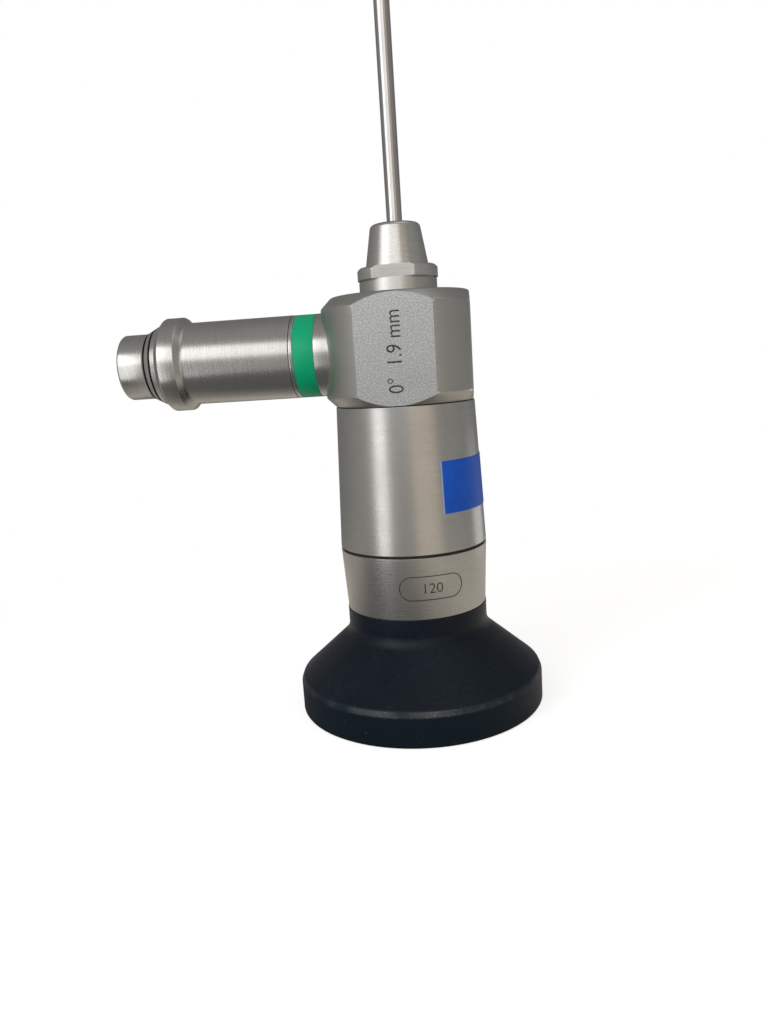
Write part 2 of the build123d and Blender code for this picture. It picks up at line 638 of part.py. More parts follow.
# Fibre bundle: leaves the shaft in a collar, bends once and runs out along the post
bundle_x = -(OPTIC_TUBE_R + BUNDLE_ROOM + BUNDLE_R)
bundle_end_s = window_pocket_s
collar_low_z = CHAMBER_TOP_Z - FIBRE_COLLAR_H
with BuildPart() as fibre_bundle:
    with BuildLine() as bundle_path:
        FilletPolyline((bundle_x, 0, collar_low_z + FIBRE_COLLAR_H / 2), (bundle_x, 0, POST_Z),
                       (-bundle_end_s, 0, POST_Z), radius=BUNDLE_BEND_R)
    with BuildSketch(Plane(origin=bundle_path.line @ 0, z_dir=bundle_path.line % 0)):
        Circle(BUNDLE_R)
    sweep(path=bundle_path.line)
    with BuildSketch(Plane.XY.offset(collar_low_z)):
        Circle(FIBRE_COLLAR_R)
        Circle(OPTIC_TUBE_R + BRAZE_GAP, mode=Mode.SUBTRACT)
    extrude(amount=FIBRE_COLLAR_H)
finish(fibre_bundle.part, "fibre_bundle")

# Light adapter: one turned piece with a sleeve, a chamfered collar, two snap grooves and
# the tip that a light cable slides over
core_hole_r = CORE_R + ADAPTER_RUN
tip_hole_r = FERRULE_R + ADAPTER_RUN
collar_rise = COLLAR_R - ADAPTER_R
collar_end_s = COLLAR_S + COLLAR_W
tip_start_s = ADAPTER_TIP_S - TIP_L
foot_r = CONE_FOOT_R
foot_s = collar_end_s + COLLAR_R - foot_r
cone_slope = (foot_r - TIP_R) / (tip_start_s - foot_s)


def cone_radius(s):
    """Radius of the grooved cone between the collar's foot and the tip."""
    return foot_r - cone_slope * (s - foot_s)


groove_spots = [foot_s + offset for offset in GROOVE_OFFSETS]
groove_half = GROOVE_W / 2
with BuildPart() as light_adapter:
    adapter_outline = [
        (ADAPTER_S, core_hole_r),
        (ADAPTER_S, ADAPTER_R),
        (COLLAR_S - collar_rise, ADAPTER_R),
        (COLLAR_S, COLLAR_R),
        (collar_end_s, COLLAR_R),
        (foot_s, foot_r),
        (foot_s, foot_r - CONE_FOOT_STEP),
    ]
    for spot in groove_spots:
        adapter_outline += [
            (spot - groove_half, cone_radius(spot - groove_half)),
            (spot, cone_radius(spot) - GROOVE_DEPTH),
            (spot + groove_half, cone_radius(spot + groove_half)),
        ]
    adapter_outline += [
        (tip_start_s, TIP_R),
        (ADAPTER_TIP_S, TIP_R),
        (ADAPTER_TIP_S, tip_hole_r + TIP_COUNTERSINK),
        (ADAPTER_TIP_S - TIP_COUNTERSINK, tip_hole_r),
        (CORE_END_S + CORE_END_ROOM, tip_hole_r),
        (CORE_END_S + CORE_END_ROOM, core_hole_r),
    ]
    revolve(outline(adapter_outline, POST_PROFILE), axis=POST_AXIS)
    rim = light_adapter.edges().filter_by(GeomType.CIRCLE)
    rim = [e for e in rim if abs(e.radius - TIP_R) < 0.001
           and abs(e.center().X + ADAPTER_TIP_S) < 0.001]
    fillet(rim, TIP_FILLET)
finish(light_adapter.part, "light_adapter")
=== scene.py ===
from math import cos, pi, radians, sin, sqrt

import bpy
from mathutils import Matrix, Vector


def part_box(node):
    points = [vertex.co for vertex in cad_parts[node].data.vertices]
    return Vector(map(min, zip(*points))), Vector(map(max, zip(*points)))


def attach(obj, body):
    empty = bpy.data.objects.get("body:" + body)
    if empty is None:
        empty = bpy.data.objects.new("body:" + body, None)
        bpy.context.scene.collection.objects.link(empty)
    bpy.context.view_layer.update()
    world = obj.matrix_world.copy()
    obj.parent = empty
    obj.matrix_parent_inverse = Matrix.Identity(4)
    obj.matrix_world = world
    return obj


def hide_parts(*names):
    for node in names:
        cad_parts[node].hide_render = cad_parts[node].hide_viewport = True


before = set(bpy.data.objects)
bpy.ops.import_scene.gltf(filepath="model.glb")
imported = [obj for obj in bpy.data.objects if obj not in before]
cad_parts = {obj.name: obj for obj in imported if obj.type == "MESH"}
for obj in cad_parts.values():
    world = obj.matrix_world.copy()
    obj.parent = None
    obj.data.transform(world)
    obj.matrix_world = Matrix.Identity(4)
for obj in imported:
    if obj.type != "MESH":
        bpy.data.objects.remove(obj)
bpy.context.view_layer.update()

# Studio: a camera close to the scope and a little above it, soft lamps, a grey room and a
# small pale floor. The camera's place and turn are those of the photograph.
MM = 0.001
CAMERA_PLACE = (10.718 * MM, -104.664 * MM, 44.971 * MM)
CAMERA_TURN = (radians(79.509), radians(3.719), radians(7.131))
CAMERA_LENS = 28.86
LAMP_AIM = Vector((0, 0, 0.045))
ROOM_COLOUR, ROOM_BEHIND = (0.29, 0.28, 0.27, 1), (0.10, 0.097, 0.095, 1)
ROOM_TURN = (-0.1, 0.9)
GLOSSY_SHARE = 0.12
WHITE = (1, 1, 1, 1)
FLOOR_R, FLOOR_PALE, FLOOR_GLOW = 0.09, (0.75, 0.75, 0.75, 1), 0.72
# Seen only by rays off the scope, the floor is painted: a dark patch at the front left is painted
# shade in the reflections, and a warm glow elsewhere is a painted reflection.
FLOOR_PAINTED_SHADE, FLOOR_PAINTED_WARMTH, PAINTED_WARM_GLOW = (0.012, 0.012, 0.012, 1), (0.46, 0.42, 0.36, 1), 0.7
PAINTED_SHADE_SPOTS, PAINTED_SHADE_EDGE = ((-0.020, -0.030, 0), (-0.058, -0.056, 0)), (0.028, 0.066)

camera_data = bpy.data.cameras.new("photo_camera")
camera_data.lens = CAMERA_LENS
camera_data.clip_start = 1 * MM
camera = bpy.data.objects.new("photo_camera", camera_data)
camera.location = CAMERA_PLACE
camera.rotation_euler = CAMERA_TURN
bpy.context.scene.collection.objects.link(camera)
bpy.context.scene.camera = camera
bpy.context.scene.view_settings.view_transform = "Standard"


def soft_lamp(name, bearing, height, distance, size, radiance, colour=(1, 1, 1)):
    """A soft box that faces the scope. Bearing 0 is in front of it, and 90 is to its right."""
    turn = radians(bearing - 90)
    data = bpy.data.lights.new(name, "AREA")
    data.shape = "RECTANGLE"
    data.size, data.size_y = size
    data.color = colour
    data.energy = radiance * pi * data.size * data.size_y
    lamp = bpy.data.objects.new(name, data)
    lamp.location = (distance * cos(turn), distance * sin(turn), height)
    lamp.rotation_euler = (lamp.location - LAMP_AIM).to_track_quat("Z", "Y").to_euler()
    bpy.context.scene.collection.objects.link(lamp)


soft_lamp("window_light", -39.5, 0.08, 0.60, (0.22, 0.90), 1.45)
soft_lamp("high_key", -22, 0.29, 0.50, (0.86, 0.32), 1.27)
soft_lamp("warm_front", 31, 0.10, 0.70, (0.50, 0.60), 0.42, (1.0, 0.80, 0.58))
soft_lamp("back_right", 132, -0.16, 0.60, (0.34, 0.26), 0.74)
soft_lamp("overhead", 60, 0.80, 0.30, (0.60, 0.60), 0.4)


def node_maker(tree):
    """Gives a function that adds a node to this tree, with its sockets and settings."""
    def add(kind, inputs=(), **settings):
        node = tree.nodes.new(kind)
        for key, value in settings.items():
            setattr(node, key, value)
        for key, value in dict(inputs).items():
            if hasattr(value, "is_output"):
                tree.links.new(value, node.inputs[key])
            else:
                node.inputs[key].default_value = value
        return node
    return add


def calculated(add, operation, *values):
    """The result of a sum or comparison of values or outputs."""
    return add("ShaderNodeMath", dict(enumerate(values)), operation=operation).outputs[0]


def ramp(add, value, start=0.0, end=1.0, low=0.0, high=1.0):
    """A value taken from one range to another, and held at the ends."""
    return add("ShaderNodeMapRange", {"Value": value, "From Min": start, "From Max": end,
                                      "To Min": low, "To Max": high}).outputs[0]


def blend_colour(add, share, first, second):
    """Mix two colours, each a value or another node's output, by a share."""
    return add("ShaderNodeMix", {0: share, 6: first, 7: second}, data_type="RGBA").outputs[2]


def white_share(add):
    """Full for rays from the camera and through glass, and a share for rays off metal."""
    path = add("ShaderNodeLightPath")
    part = calculated(add, "MULTIPLY", path.outputs["Is Glossy Ray"], GLOSSY_SHARE)
    part = calculated(add, "MAXIMUM", path.outputs["Is Transmission Ray"], part)
    return calculated(add, "MAXIMUM", path.outputs["Is Camera Ray"], part)


room = bpy.data.worlds.new("room")
bpy.context.scene.world = room
room.use_nodes = True
room.node_tree.nodes.clear()
add = node_maker(room.node_tree)
way = add("ShaderNodeSeparateXYZ", {0: add("ShaderNodeTexCoord").outputs["Generated"]}).outputs[1]
tone = blend_colour(add, ramp(add, way, *ROOM_TURN), ROOM_COLOUR, ROOM_BEHIND)
grey = add("ShaderNodeBackground", {"Color": tone, "Strength": 1.0})
white = add("ShaderNodeBackground", {"Color": WHITE, "Strength": 1.0})
mixed = add("ShaderNodeMixShader", {0: white_share(add), 1: grey.outputs[0], 2: white.outputs[0]})
add("ShaderNodeOutputWorld", {"Surface": mixed.outputs[0]})

bpy.ops.object.select_all(action="DESELECT")
bpy.ops.mesh.primitive_circle_add(vertices=128, radius=FLOOR_R, fill_type="NGON")
floor = bpy.context.object
floor.name = "pale_floor"
paper = bpy.data.materials.new("floor_paper")
paper.use_nodes = True
paper.node_tree.nodes.clear()
add = node_maker(paper.node_tree)
place = add("ShaderNodeTexCoord").outputs["Object"]
# Painted shade near the two spots, fading out to a warm painted glow; the camera sees the plain
# pale floor instead.
near = [add("ShaderNodeVectorMath", {0: place, 1: spot}, operation="DISTANCE").outputs["Value"]
        for spot in PAINTED_SHADE_SPOTS]
painted_shade_fade = ramp(add, calculated(add, "MINIMUM", *near), *PAINTED_SHADE_EDGE)
painted_reflection = blend_colour(add, painted_shade_fade, FLOOR_PAINTED_SHADE, FLOOR_PAINTED_WARMTH)
layers = []
for colour, glow_colour, strength in ((painted_reflection, painted_reflection, PAINTED_WARM_GLOW),
                                      (FLOOR_PALE, WHITE, FLOOR_GLOW)):
    matt = add("ShaderNodeBsdfDiffuse", {"Color": colour})
    glow = add("ShaderNodeEmission", {"Color": glow_colour, "Strength": strength})
    layers.append(add("ShaderNodeAddShader", {0: matt.outputs[0], 1: glow.outputs[0]}).outputs[0])
mixed = add("ShaderNodeMixShader", {0: white_share(add), 1: layers[0], 2: layers[1]})
add("ShaderNodeOutputMaterial", {"Surface": mixed.outputs[0]})
floor.data.materials.append(paper)

# Eyecup: black moulded cup that screws on the ocular ring. It has an upright rim, a conical
# skirt and a viewing funnel. It is a hard polymer, rubbed grey along its rim.
cup_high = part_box("eyecup")[1]
RIM_R = cup_high.x
RIM_TOP = 3.9 * MM
RIM_BEVEL_W, RIM_BEVEL_H = 0.30 * MM, 0.72 * MM
SKIRT_TOP = 10.35 * MM
CUP_NECK_R = 9.1 * MM
FUNNEL_R, FUNNEL_DEPTH = RIM_R - 3.4 * MM, 5.2 * MM
CUP_BORE_R = 7.0 * MM
RIM_ROUND, FUNNEL_ROUND, SKIRT_ROUND = 0.4 * MM, 0.6 * MM, 0.95 * MM
BEVEL_ROUND, BORE_ROUND = 0.12 * MM, 0.10 * MM
RIM_WEAR, FOOT_WEAR = (RIM_R - 0.5 * MM, RIM_R - 0.2 * MM), (0.75 * MM, 0.15 * MM)
BEVEL_MIDDLE, BEVEL_REACH = RIM_TOP + 0.4 * RIM_BEVEL_H, 0.35 * MM
CUP_BLACK, CUP_GREY = (0.0012, 0.0062, 0.0135, 1), (0.006, 0.017, 0.031, 1)
CUP_FADED, CUP_RUBBED = (0.009, 0.022, 0.034, 1), (0.085, 0.093, 0.100, 1)
FINE, COARSE = 192, 96
EDGE_NEAR = 0.004 * MM


def deselect_all():
    """Deselect everything, so that an operator acts on its own piece."""
    bpy.ops.object.select_all(action="DESELECT")


def select_only(piece):
    """Select one piece alone, and make it active."""
    deselect_all()
    piece.select_set(True)
    bpy.context.view_layer.objects.active = piece


def turned(name, outline, steps=FINE):
    """A turned piece: a circle is extruded and scaled from ring to ring of a closed outline."""
    deselect_all()
    radius, height = outline[0]
    bpy.ops.mesh.primitive_circle_add(vertices=steps, radius=radius, location=(0, 0, height))
    piece = bpy.context.object
    piece.name = name
    bpy.ops.object.transform_apply()
    bpy.ops.object.mode_set(mode="EDIT")
    bpy.ops.mesh.select_all(action="SELECT")
    for next_radius, next_height in outline[1:]:
        bpy.ops.mesh.extrude_region_move(
            TRANSFORM_OT_translate={"value": (0, 0, next_height - height)})
        share = next_radius / radius
        bpy.ops.transform.resize(value=(share, share, 1), center_override=(0, 0, next_height))
        radius, height = next_radius, next_height
    bpy.ops.mesh.select_all(action="DESELECT")
    bpy.ops.mesh.select_non_manifold()
    bpy.ops.mesh.bridge_edge_loops()
    bpy.ops.mesh.select_all(action="SELECT")
    bpy.ops.mesh.normals_make_consistent(inside=False)
    bpy.ops.object.mode_set(mode="OBJECT")
    return piece


def round_edges(piece, places, width, segments=4):
    """Bevel the rings of edges that lie at these (radius, height) places."""
    bpy.ops.object.mode_set(mode="EDIT")
    bpy.ops.mesh.select_all(action="DESELECT")
    bpy.ops.mesh.select_mode(type="EDGE")
    bpy.ops.object.mode_set(mode="OBJECT")
    points = piece.data.vertices
    for edge in piece.data.edges:
        ends = [points[i].co for i in edge.vertices]
        for radius, height in places:
            if all(abs(sqrt(p.x ** 2 + p.y ** 2) - radius) < EDGE_NEAR
                   and abs(p.z - height) < EDGE_NEAR for p in ends):
                edge.select = True
    bpy.ops.object.mode_set(mode="EDIT")
    bpy.ops.mesh.bevel(offset=width, segments=segments, profile=0.5)
    bpy.ops.object.mode_set(mode="OBJECT")


def apply_modifier(piece, kind, **settings):
    """Add a modifier to a piece, set it and apply it."""
    select_only(piece)
    modifier = piece.modifiers.new(kind.lower(), kind)
    for key, value in settings.items():
        setattr(modifier, key, value)
    bpy.ops.object.modifier_apply(modifier=modifier.name)


def smooth(piece, angle=35):
    """Shade smooth up to this angle, with broad faces kept true beside their bevels."""
    select_only(piece)
    bpy.ops.object.shade_smooth_by_angle(angle=radians(angle))
    apply_modifier(piece, "WEIGHTED_NORMAL", weight=100, keep_sharp=True)


def fitted(piece, body, slot, material, *nodes):
    """The finished piece gets its material, rides on its body and stands for its CAD nodes."""
    piece.data.materials.clear()
    piece.data.materials.append(material)
    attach(piece, body)
    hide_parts(*nodes)


def material_start(name, metallic, roughness):
    """A new material, the function that adds its nodes, its shader and its coordinate."""
    material = bpy.data.materials.new(name)
    material.use_nodes = True
    material.node_tree.nodes.clear()
    add = node_maker(material.node_tree)
    shader = add("ShaderNodeBsdfPrincipled", {"Metallic": metallic, "Roughness": roughness})
    add("ShaderNodeOutputMaterial", {"Surface": shader.outputs[0]})
    return material, add, shader, add("ShaderNodeTexCoord").outputs["Object"]


def feed(shader, socket, output):
    """Wire a node's output to a shader's socket."""
    shader.id_data.links.new(output, shader.inputs[socket])


def roughen(add, shader, height, strength, depth):
    """Bump a shader's surface by a height field."""
    bump = add("ShaderNodeBump", {"Height": height, "Strength": strength, "Distance": depth})
    feed(shader, "Normal", bump.outputs[0])


def spots(add, place, scale, low, high, detail=4.0):
    """Noise on a placed coordinate, cut to the range between two levels."""
    noise = add("ShaderNodeTexNoise", {"Vector": place, "Scale": scale, "Detail": detail})
    return ramp(add, noise.outputs[0], low, high)


def worn_polymer(name):
    """Black polymer with a fine moulded skin, dust, scratches and a rim rubbed grey."""
    material, add, shader, place = material_start(name, 0.0, 0.42)
    up = add("ShaderNodeSeparateXYZ", {0: place}).outputs[2]
    flat = add("ShaderNodeVectorMath", {0: place, 1: (1, 1, 0)}, operation="MULTIPLY").outputs[0]
    radius = add("ShaderNodeVectorMath", {0: flat}, operation="LENGTH").outputs[1]
    outer = ramp(add, radius, *RIM_WEAR)
    foot = ramp(add, up, *FOOT_WEAR)
    bevel = calculated(add, "COMPARE", up, BEVEL_MIDDLE, BEVEL_REACH)
    edge = calculated(add, "MULTIPLY", outer, calculated(add, "MAXIMUM", foot, bevel))
    patches = spots(add, place, 170, 0.44, 0.70)
    chips = calculated(add, "MULTIPLY", spots(add, place, 3000, 0.52, 0.70, 5.0), patches)
    rubbed = calculated(add, "MULTIPLY", edge, chips)
    marks = calculated(add, "MAXIMUM", rubbed, spots(add, place, 2600, 0.73, 0.78, 2.0))
    broad = spots(add, place, 140, 0.35, 0.75)
    fine = spots(add, place, 2400, 0.35, 0.68, 3.0)
    shade = blend_colour(add, calculated(add, "MULTIPLY", fine, broad), CUP_BLACK, CUP_GREY)
    shade = blend_colour(add, calculated(add, "MULTIPLY", outer, 0.55), shade, CUP_FADED)
    feed(shader, "Base Color", blend_colour(add, marks, shade, CUP_RUBBED))
    shiny = calculated(add, "MULTIPLY", bevel, patches)
    feed(shader, "Specular IOR Level", ramp(add, shiny, low=0.24, high=0.85))
    feed(shader, "Roughness", ramp(add, broad, low=0.38, high=0.50))
    skin = add("ShaderNodeTexNoise", {"Vector": place, "Scale": 5200.0, "Detail": 3.0})
    roughen(add, shader, skin.outputs[0], 0.35, 0.02 * MM)
    return material


eyecup = turned("eyecup_moulding", [
    (FUNNEL_R, 0),
    (RIM_R, 0),
    (RIM_R, RIM_TOP),
    (RIM_R - RIM_BEVEL_W, RIM_TOP + RIM_BEVEL_H),
    (CUP_NECK_R, SKIRT_TOP),
    (CUP_NECK_R, cup_high.z),
    (CUP_BORE_R, cup_high.z),
    (CUP_BORE_R, FUNNEL_DEPTH),
])
round_edges(eyecup, [(RIM_R, 0)], RIM_ROUND)
round_edges(eyecup, [(FUNNEL_R, 0)], FUNNEL_ROUND)
round_edges(eyecup, [(CUP_NECK_R, SKIRT_TOP)], SKIRT_ROUND, 8)
round_edges(eyecup, [(RIM_R, RIM_TOP), (RIM_R - RIM_BEVEL_W, RIM_TOP + RIM_BEVEL_H)], BEVEL_ROUND)
round_edges(eyecup, [(CUP_NECK_R, cup_high.z), (CUP_BORE_R, FUNNEL_DEPTH)], BORE_ROUND, 3)
smooth(eyecup)
fitted(eyecup, "scope", "black_polymer", worn_polymer("eyecup_polymer"), "eyecup")

# Ocular ring: lower steel ring, screwed into the eyecup below and into the body sleeve above.
# It is turned stainless steel with a satin finish and a rounded edge at the joint line.
ring_low, ring_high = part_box("ocular_ring")
joint_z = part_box("lower_gasket")[0].z
RING_FOOT_R, RING_JOINT_R = 9.03 * MM, 9.44 * MM
TAIL_R, SPIGOT_R, OCULAR_BORE_R = 6.92 * MM, 7.92 * MM, 5.6 * MM
JOINT_ROUND = 0.06 * MM
STEEL = (0.540, 0.535, 0.510, 1)
STEEL_DULL = (0.445, 0.435, 0.410, 1)


def turned_steel(name, axis, roughness=0.27, lines=1.0, colour=STEEL, dull=STEEL_DULL):
    """Satin steel with tool marks round an axis (0 for X, 2 for Z), smears and fine scratches."""
    material, add, shader, place = material_start(name, 1.0, roughness)
    along = add("ShaderNodeSeparateXYZ", {0: place}).outputs[axis]
    fine = add("ShaderNodeTexNoise", {"W": along, "Scale": 7000.0, "Detail": 2.0},
               noise_dimensions="1D").outputs[0]
    stretch = [330.0, 330.0, 330.0]
    stretch[axis] = 6500.0
    squeezed = add("ShaderNodeVectorMath", {0: place, 1: stretch}, operation="MULTIPLY").outputs[0]
    streak = spots(add, squeezed, 1.0, 0.30, 0.72, 3.0)
    smear = spots(add, place, 190, 0.38, 0.70, 5.0)
    grain = spots(add, place, 3400, 0.30, 0.72, 2.0)
    tone = calculated(add, "MULTIPLY", smear, 0.30)
    tone = calculated(add, "MULTIPLY_ADD", streak, 0.45, tone)
    tone = calculated(add, "MULTIPLY_ADD", grain, 0.25, tone)
    feed(shader, "Base Color", blend_colour(add, tone, colour, dull))
    rough = ramp(add, smear, low=roughness - 0.01, high=roughness + 0.03)
    feed(shader, "Roughness", calculated(add, "MULTIPLY_ADD", grain, 0.04, rough))
    height = calculated(add, "ADD", fine, streak)
    height = calculated(add, "MULTIPLY_ADD", grain, 0.18, height)
    roughen(add, shader, height, 0.32 * lines, 0.01 * MM)
    return material


satin_steel = turned_steel("satin_steel_upright", 2)
ring = turned("ocular_ring_turned", [
    (TAIL_R, ring_low.z),
    (TAIL_R, cup_high.z),
    (RING_FOOT_R, cup_high.z),
    (RING_JOINT_R, joint_z),
    (SPIGOT_R, joint_z),
    (SPIGOT_R, ring_high.z),
    (OCULAR_BORE_R, ring_high.z),
    (OCULAR_BORE_R, ring_low.z),
])
round_edges(ring, [(RING_JOINT_R, joint_z), (RING_FOOT_R, cup_high.z)], JOINT_ROUND, 3)
smooth(ring)
fitted(ring, "scope", "satin_steel", satin_steel, "ocular_ring")

# Gaskets: thin dark rubber rings, clamped in the two joint lines of the body. They lie a
# little below the steel's surface, so each shows as a dark line.
GASKET_INSET, GASKET_FIT = 0.22 * MM, 0.02 * MM
SLEEVE_TOP_R = 8.77 * MM
RUBBER, RUBBER_BLOOM = (0.012, 0.012, 0.012, 1), (0.0264, 0.0264, 0.0264, 1)


def matt_rubber(name):
    """Matt black rubber with a faint bloom."""
    material, add, shader, place = material_start(name, 0.0, 0.7)
    bloom = spots(add, place, 900, 0.35, 0.75)
    feed(shader, "Base Color", blend_colour(add, bloom, RUBBER, RUBBER_BLOOM))
    return material


seal_rubber = matt_rubber("seal_rubber")
for node, outer_r in (("lower_gasket", RING_JOINT_R), ("upper_gasket", SLEEVE_TOP_R)):
    low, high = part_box(node)
    gasket = turned(node + "_ring", [
        (outer_r - GASKET_INSET, low.z),
        (outer_r - GASKET_INSET, high.z),
        (SPIGOT_R + GASKET_FIT, high.z),
        (SPIGOT_R + GASKET_FIT, low.z),
    ])
    smooth(gasket)
    fitted(gasket, "scope", "dark_seal", seal_rubber, node)

# Body sleeve: the tapered steel grip between the two joints, a thin turned tube. Its ends
# have fine rounded edges that catch the light beside the joint lines.
sleeve_low, sleeve_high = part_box("body_sleeve")
SLEEVE_BORE_R, SLEEVE_ROUND = 8.0 * MM, 0.05 * MM


def sleeve_radius(height):
    """Outer radius of the tapered sleeve at this height."""
    share = (height - sleeve_low.z) / (sleeve_high.z - sleeve_low.z)
    return RING_JOINT_R + (SLEEVE_TOP_R - RING_JOINT_R) * share


sleeve = turned("body_sleeve_turned", [
    (RING_JOINT_R, sleeve_low.z),
    (SLEEVE_TOP_R, sleeve_high.z),
    (SLEEVE_BORE_R, sleeve_high.z),
    (SLEEVE_BORE_R, sleeve_low.z),
])
round_edges(sleeve, [(RING_JOINT_R, sleeve_low.z), (SLEEVE_TOP_R, sleeve_high.z)], SLEEVE_ROUND, 3)
smooth(sleeve)
fitted(sleeve, "scope", "satin_steel", satin_steel, "body_sleeve")

# Marking tape: a blue adhesive patch, wrapped round the right of the body sleeve. It is a
# plastic film, dusty and finely creased, with pale cut ends.
TAPE_T = 0.08 * MM
TAPE_START, TAPE_SWEEP, TAPE_CUT = -60, 74, 1.1
TAPE_STEPS = 48
TAPE_BLUE, TAPE_LIGHT = (0.008, 0.105, 0.660, 1), (0.014, 0.140, 0.780, 1)
TAPE_DUST, TAPE_PALE = (0.10, 0.22, 0.62, 1), (0.42, 0.50, 0.68, 1)
tape_low, tape_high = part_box("marking_tape")


def tape_film(name):
    """Blue film, a little mottled, with dust, fine wrinkles and pale cut ends."""
    material, add, shader, place = material_start(name, 0.0, 0.42)
    shader.inputs["Specular IOR Level"].default_value = 0.25
    blue = blend_colour(add, spots(add, place, 420, 0.3, 0.75), TAPE_BLUE, TAPE_LIGHT)
    blue = blend_colour(add, spots(add, place, 3000, 0.68, 0.74, 2.0), blue, TAPE_DUST)
    parts = add("ShaderNodeSeparateXYZ", {0: place})
    turn = calculated(add, "ARCTAN2", parts.outputs[1], parts.outputs[0])
    across = calculated(add, "SUBTRACT", turn, radians(TAPE_START + TAPE_SWEEP / 2))
    across = calculated(add, "ABSOLUTE", across)
    cut = calculated(add, "GREATER_THAN", across, radians(TAPE_SWEEP / 2 - TAPE_CUT))
    feed(shader, "Base Color", blend_colour(add, cut, blue, TAPE_PALE))
    crease = add("ShaderNodeTexNoise", {"Vector": place, "Scale": 700.0, "Detail": 4.0})
    roughen(add, shader, crease.outputs[0], 0.25, 0.02 * MM)
    return material


deselect_all()
edge_r = sleeve_radius(tape_low.z) + TAPE_T / 2
bpy.ops.mesh.primitive_plane_add(size=1)
tape = bpy.context.object
tape.name = "marking_tape_film"
tape.scale = (TAPE_T, tape_high.z - tape_low.z, 1)
tape.rotation_euler = (pi / 2, 0, 0)
tape.location = (edge_r, 0, (tape_low.z + tape_high.z) / 2)
bpy.ops.object.transform_apply()
for point in tape.data.vertices:
    point.co.x += sleeve_radius(point.co.z) - sleeve_radius(tape_low.z)
tape.rotation_euler = (0, 0, radians(TAPE_START))
bpy.ops.object.transform_apply()
bpy.ops.object.mode_set(mode="EDIT")
bpy.ops.mesh.select_all(action="SELECT")
bpy.ops.mesh.spin(steps=TAPE_STEPS, angle=-radians(TAPE_SWEEP), center=(0, 0, 0), axis=(0, 0, 1))
bpy.ops.mesh.select_all(action="SELECT")
bpy.ops.mesh.normals_make_consistent(inside=False)
bpy.ops.object.mode_set(mode="OBJECT")
smooth(tape)
fitted(tape, "scope", "blue_tape", tape_film("blue_film"), "marking_tape")

# Housing block: turned from stainless bar, chamfered like a nut, with four milled flats that
# are bead blasted. The neck carries the cone socket, and the light post sits in its side.
block_low, block_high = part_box("housing_block")
BLOCK_R = 9.90 * MM
BLOCK_FOOT_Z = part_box("upper_gasket")[1].z
BLOCK_TOP_Z = BLOCK_FOOT_Z + 13.27 * MM
BLOCK_CHAMFER_LOW, BLOCK_CHAMFER_TOP = 1.15 * MM, 1.40 * MM
FLATS = ((0, 8.64 * MM), (90, 8.72 * MM), (180, 9.45 * MM), (270, 8.72 * MM))
FRONT_FLAT = FLATS[3][1]
BLOCK_EDGE, BLOCK_BEVEL, BLOCK_HIGHLIGHT_REACH = 0.24 * MM, 0.15 * MM, 0.11 * MM
CUT_NEAR, FACE_NEAR, FACE_MARGIN = 0.0001 * MM, 0.01 * MM, 0.1 * MM
FACE_TRUE, EDGE_TRUE, EDGE_STEEP = 0.9995, 0.8, 0.69
NECK_R, NECK_STEP, NECK_GAP = 4.82 * MM, 0.22 * MM, 0.22 * MM
NECK_BORE_R = 3.58 * MM
CHAMBER_R = 3.1 * MM
CHAMBER_TOP_Z = BLOCK_TOP_Z - 2.75 * MM
POST_Z = BLOCK_FOOT_Z + 6.49 * MM
POST_R = 5.18 * MM
POST_SEAT, SEAT_FIT = 8.2 * MM, 0.02 * MM
SPIGOT_HOLE_R = 3.58 * MM
BLASTED, BLASTED_STAIN = (0.395, 0.408, 0.406, 1), (0.360, 0.374, 0.372, 1)
BLASTED_SPECK = (0.68, 0.695, 0.69, 1)
BAR_STEEL = (0.50, 0.495, 0.47, 1)
EDGE_HIGHLIGHT, EDGE_HIGHLIGHT_DULL = (0.85, 0.86, 0.85, 1), (0.75, 0.76, 0.75, 1)


def blasted_steel(name):
    """Bead-blasted steel: an even, slightly sparkling grain with faint stains."""
    material, add, shader, place = material_start(name, 1.0, 0.42)
    tone = blend_colour(add, spots(add, place, 260, 0.42, 0.72, 5.0), BLASTED, BLASTED_STAIN)
    speck = spots(add, place, 7000, 0.42, 0.68, 2.0)
    feed(shader, "Base Color", blend_colour(add, speck, tone, BLASTED_SPECK))
    grain = add("ShaderNodeTexNoise", {"Vector": place, "Scale": 8000.0, "Detail": 2.0})
    roughen(add, shader, grain.outputs[0], 0.8, 0.01 * MM)
    return material


def outward(turn_deg):
    """The level direction at this angle from +X."""
    return Vector((cos(radians(turn_deg)), sin(radians(turn_deg)), 0))


def mill_flat(piece, turn_deg, distance):
    """Cut a flat on a piece and close it."""
    across = outward(turn_deg)
    bpy.ops.object.mode_set(mode="EDIT")
    bpy.ops.mesh.select_all(action="SELECT")
    bpy.ops.mesh.bisect(plane_co=distance * across, plane_no=across, use_fill=True,
                        clear_outer=True, threshold=CUT_NEAR)
    bpy.ops.object.mode_set(mode="OBJECT")


def cut_hole(piece, name, radius, start, end):
    """Bore a hole of this radius along -X, between two distances from the optical axis."""
    deselect_all()
    bpy.ops.mesh.primitive_cylinder_add(vertices=COARSE, radius=radius, depth=end - start,
                                        location=(-(start + end) / 2, 0, POST_Z),
                                        rotation=(0, pi / 2, 0))
    drill = bpy.context.object
    drill.name = name
    bpy.ops.object.transform_apply()
    apply_modifier(piece, "BOOLEAN", operation="DIFFERENCE", object=drill, solver="EXACT")
    bpy.data.objects.remove(drill)


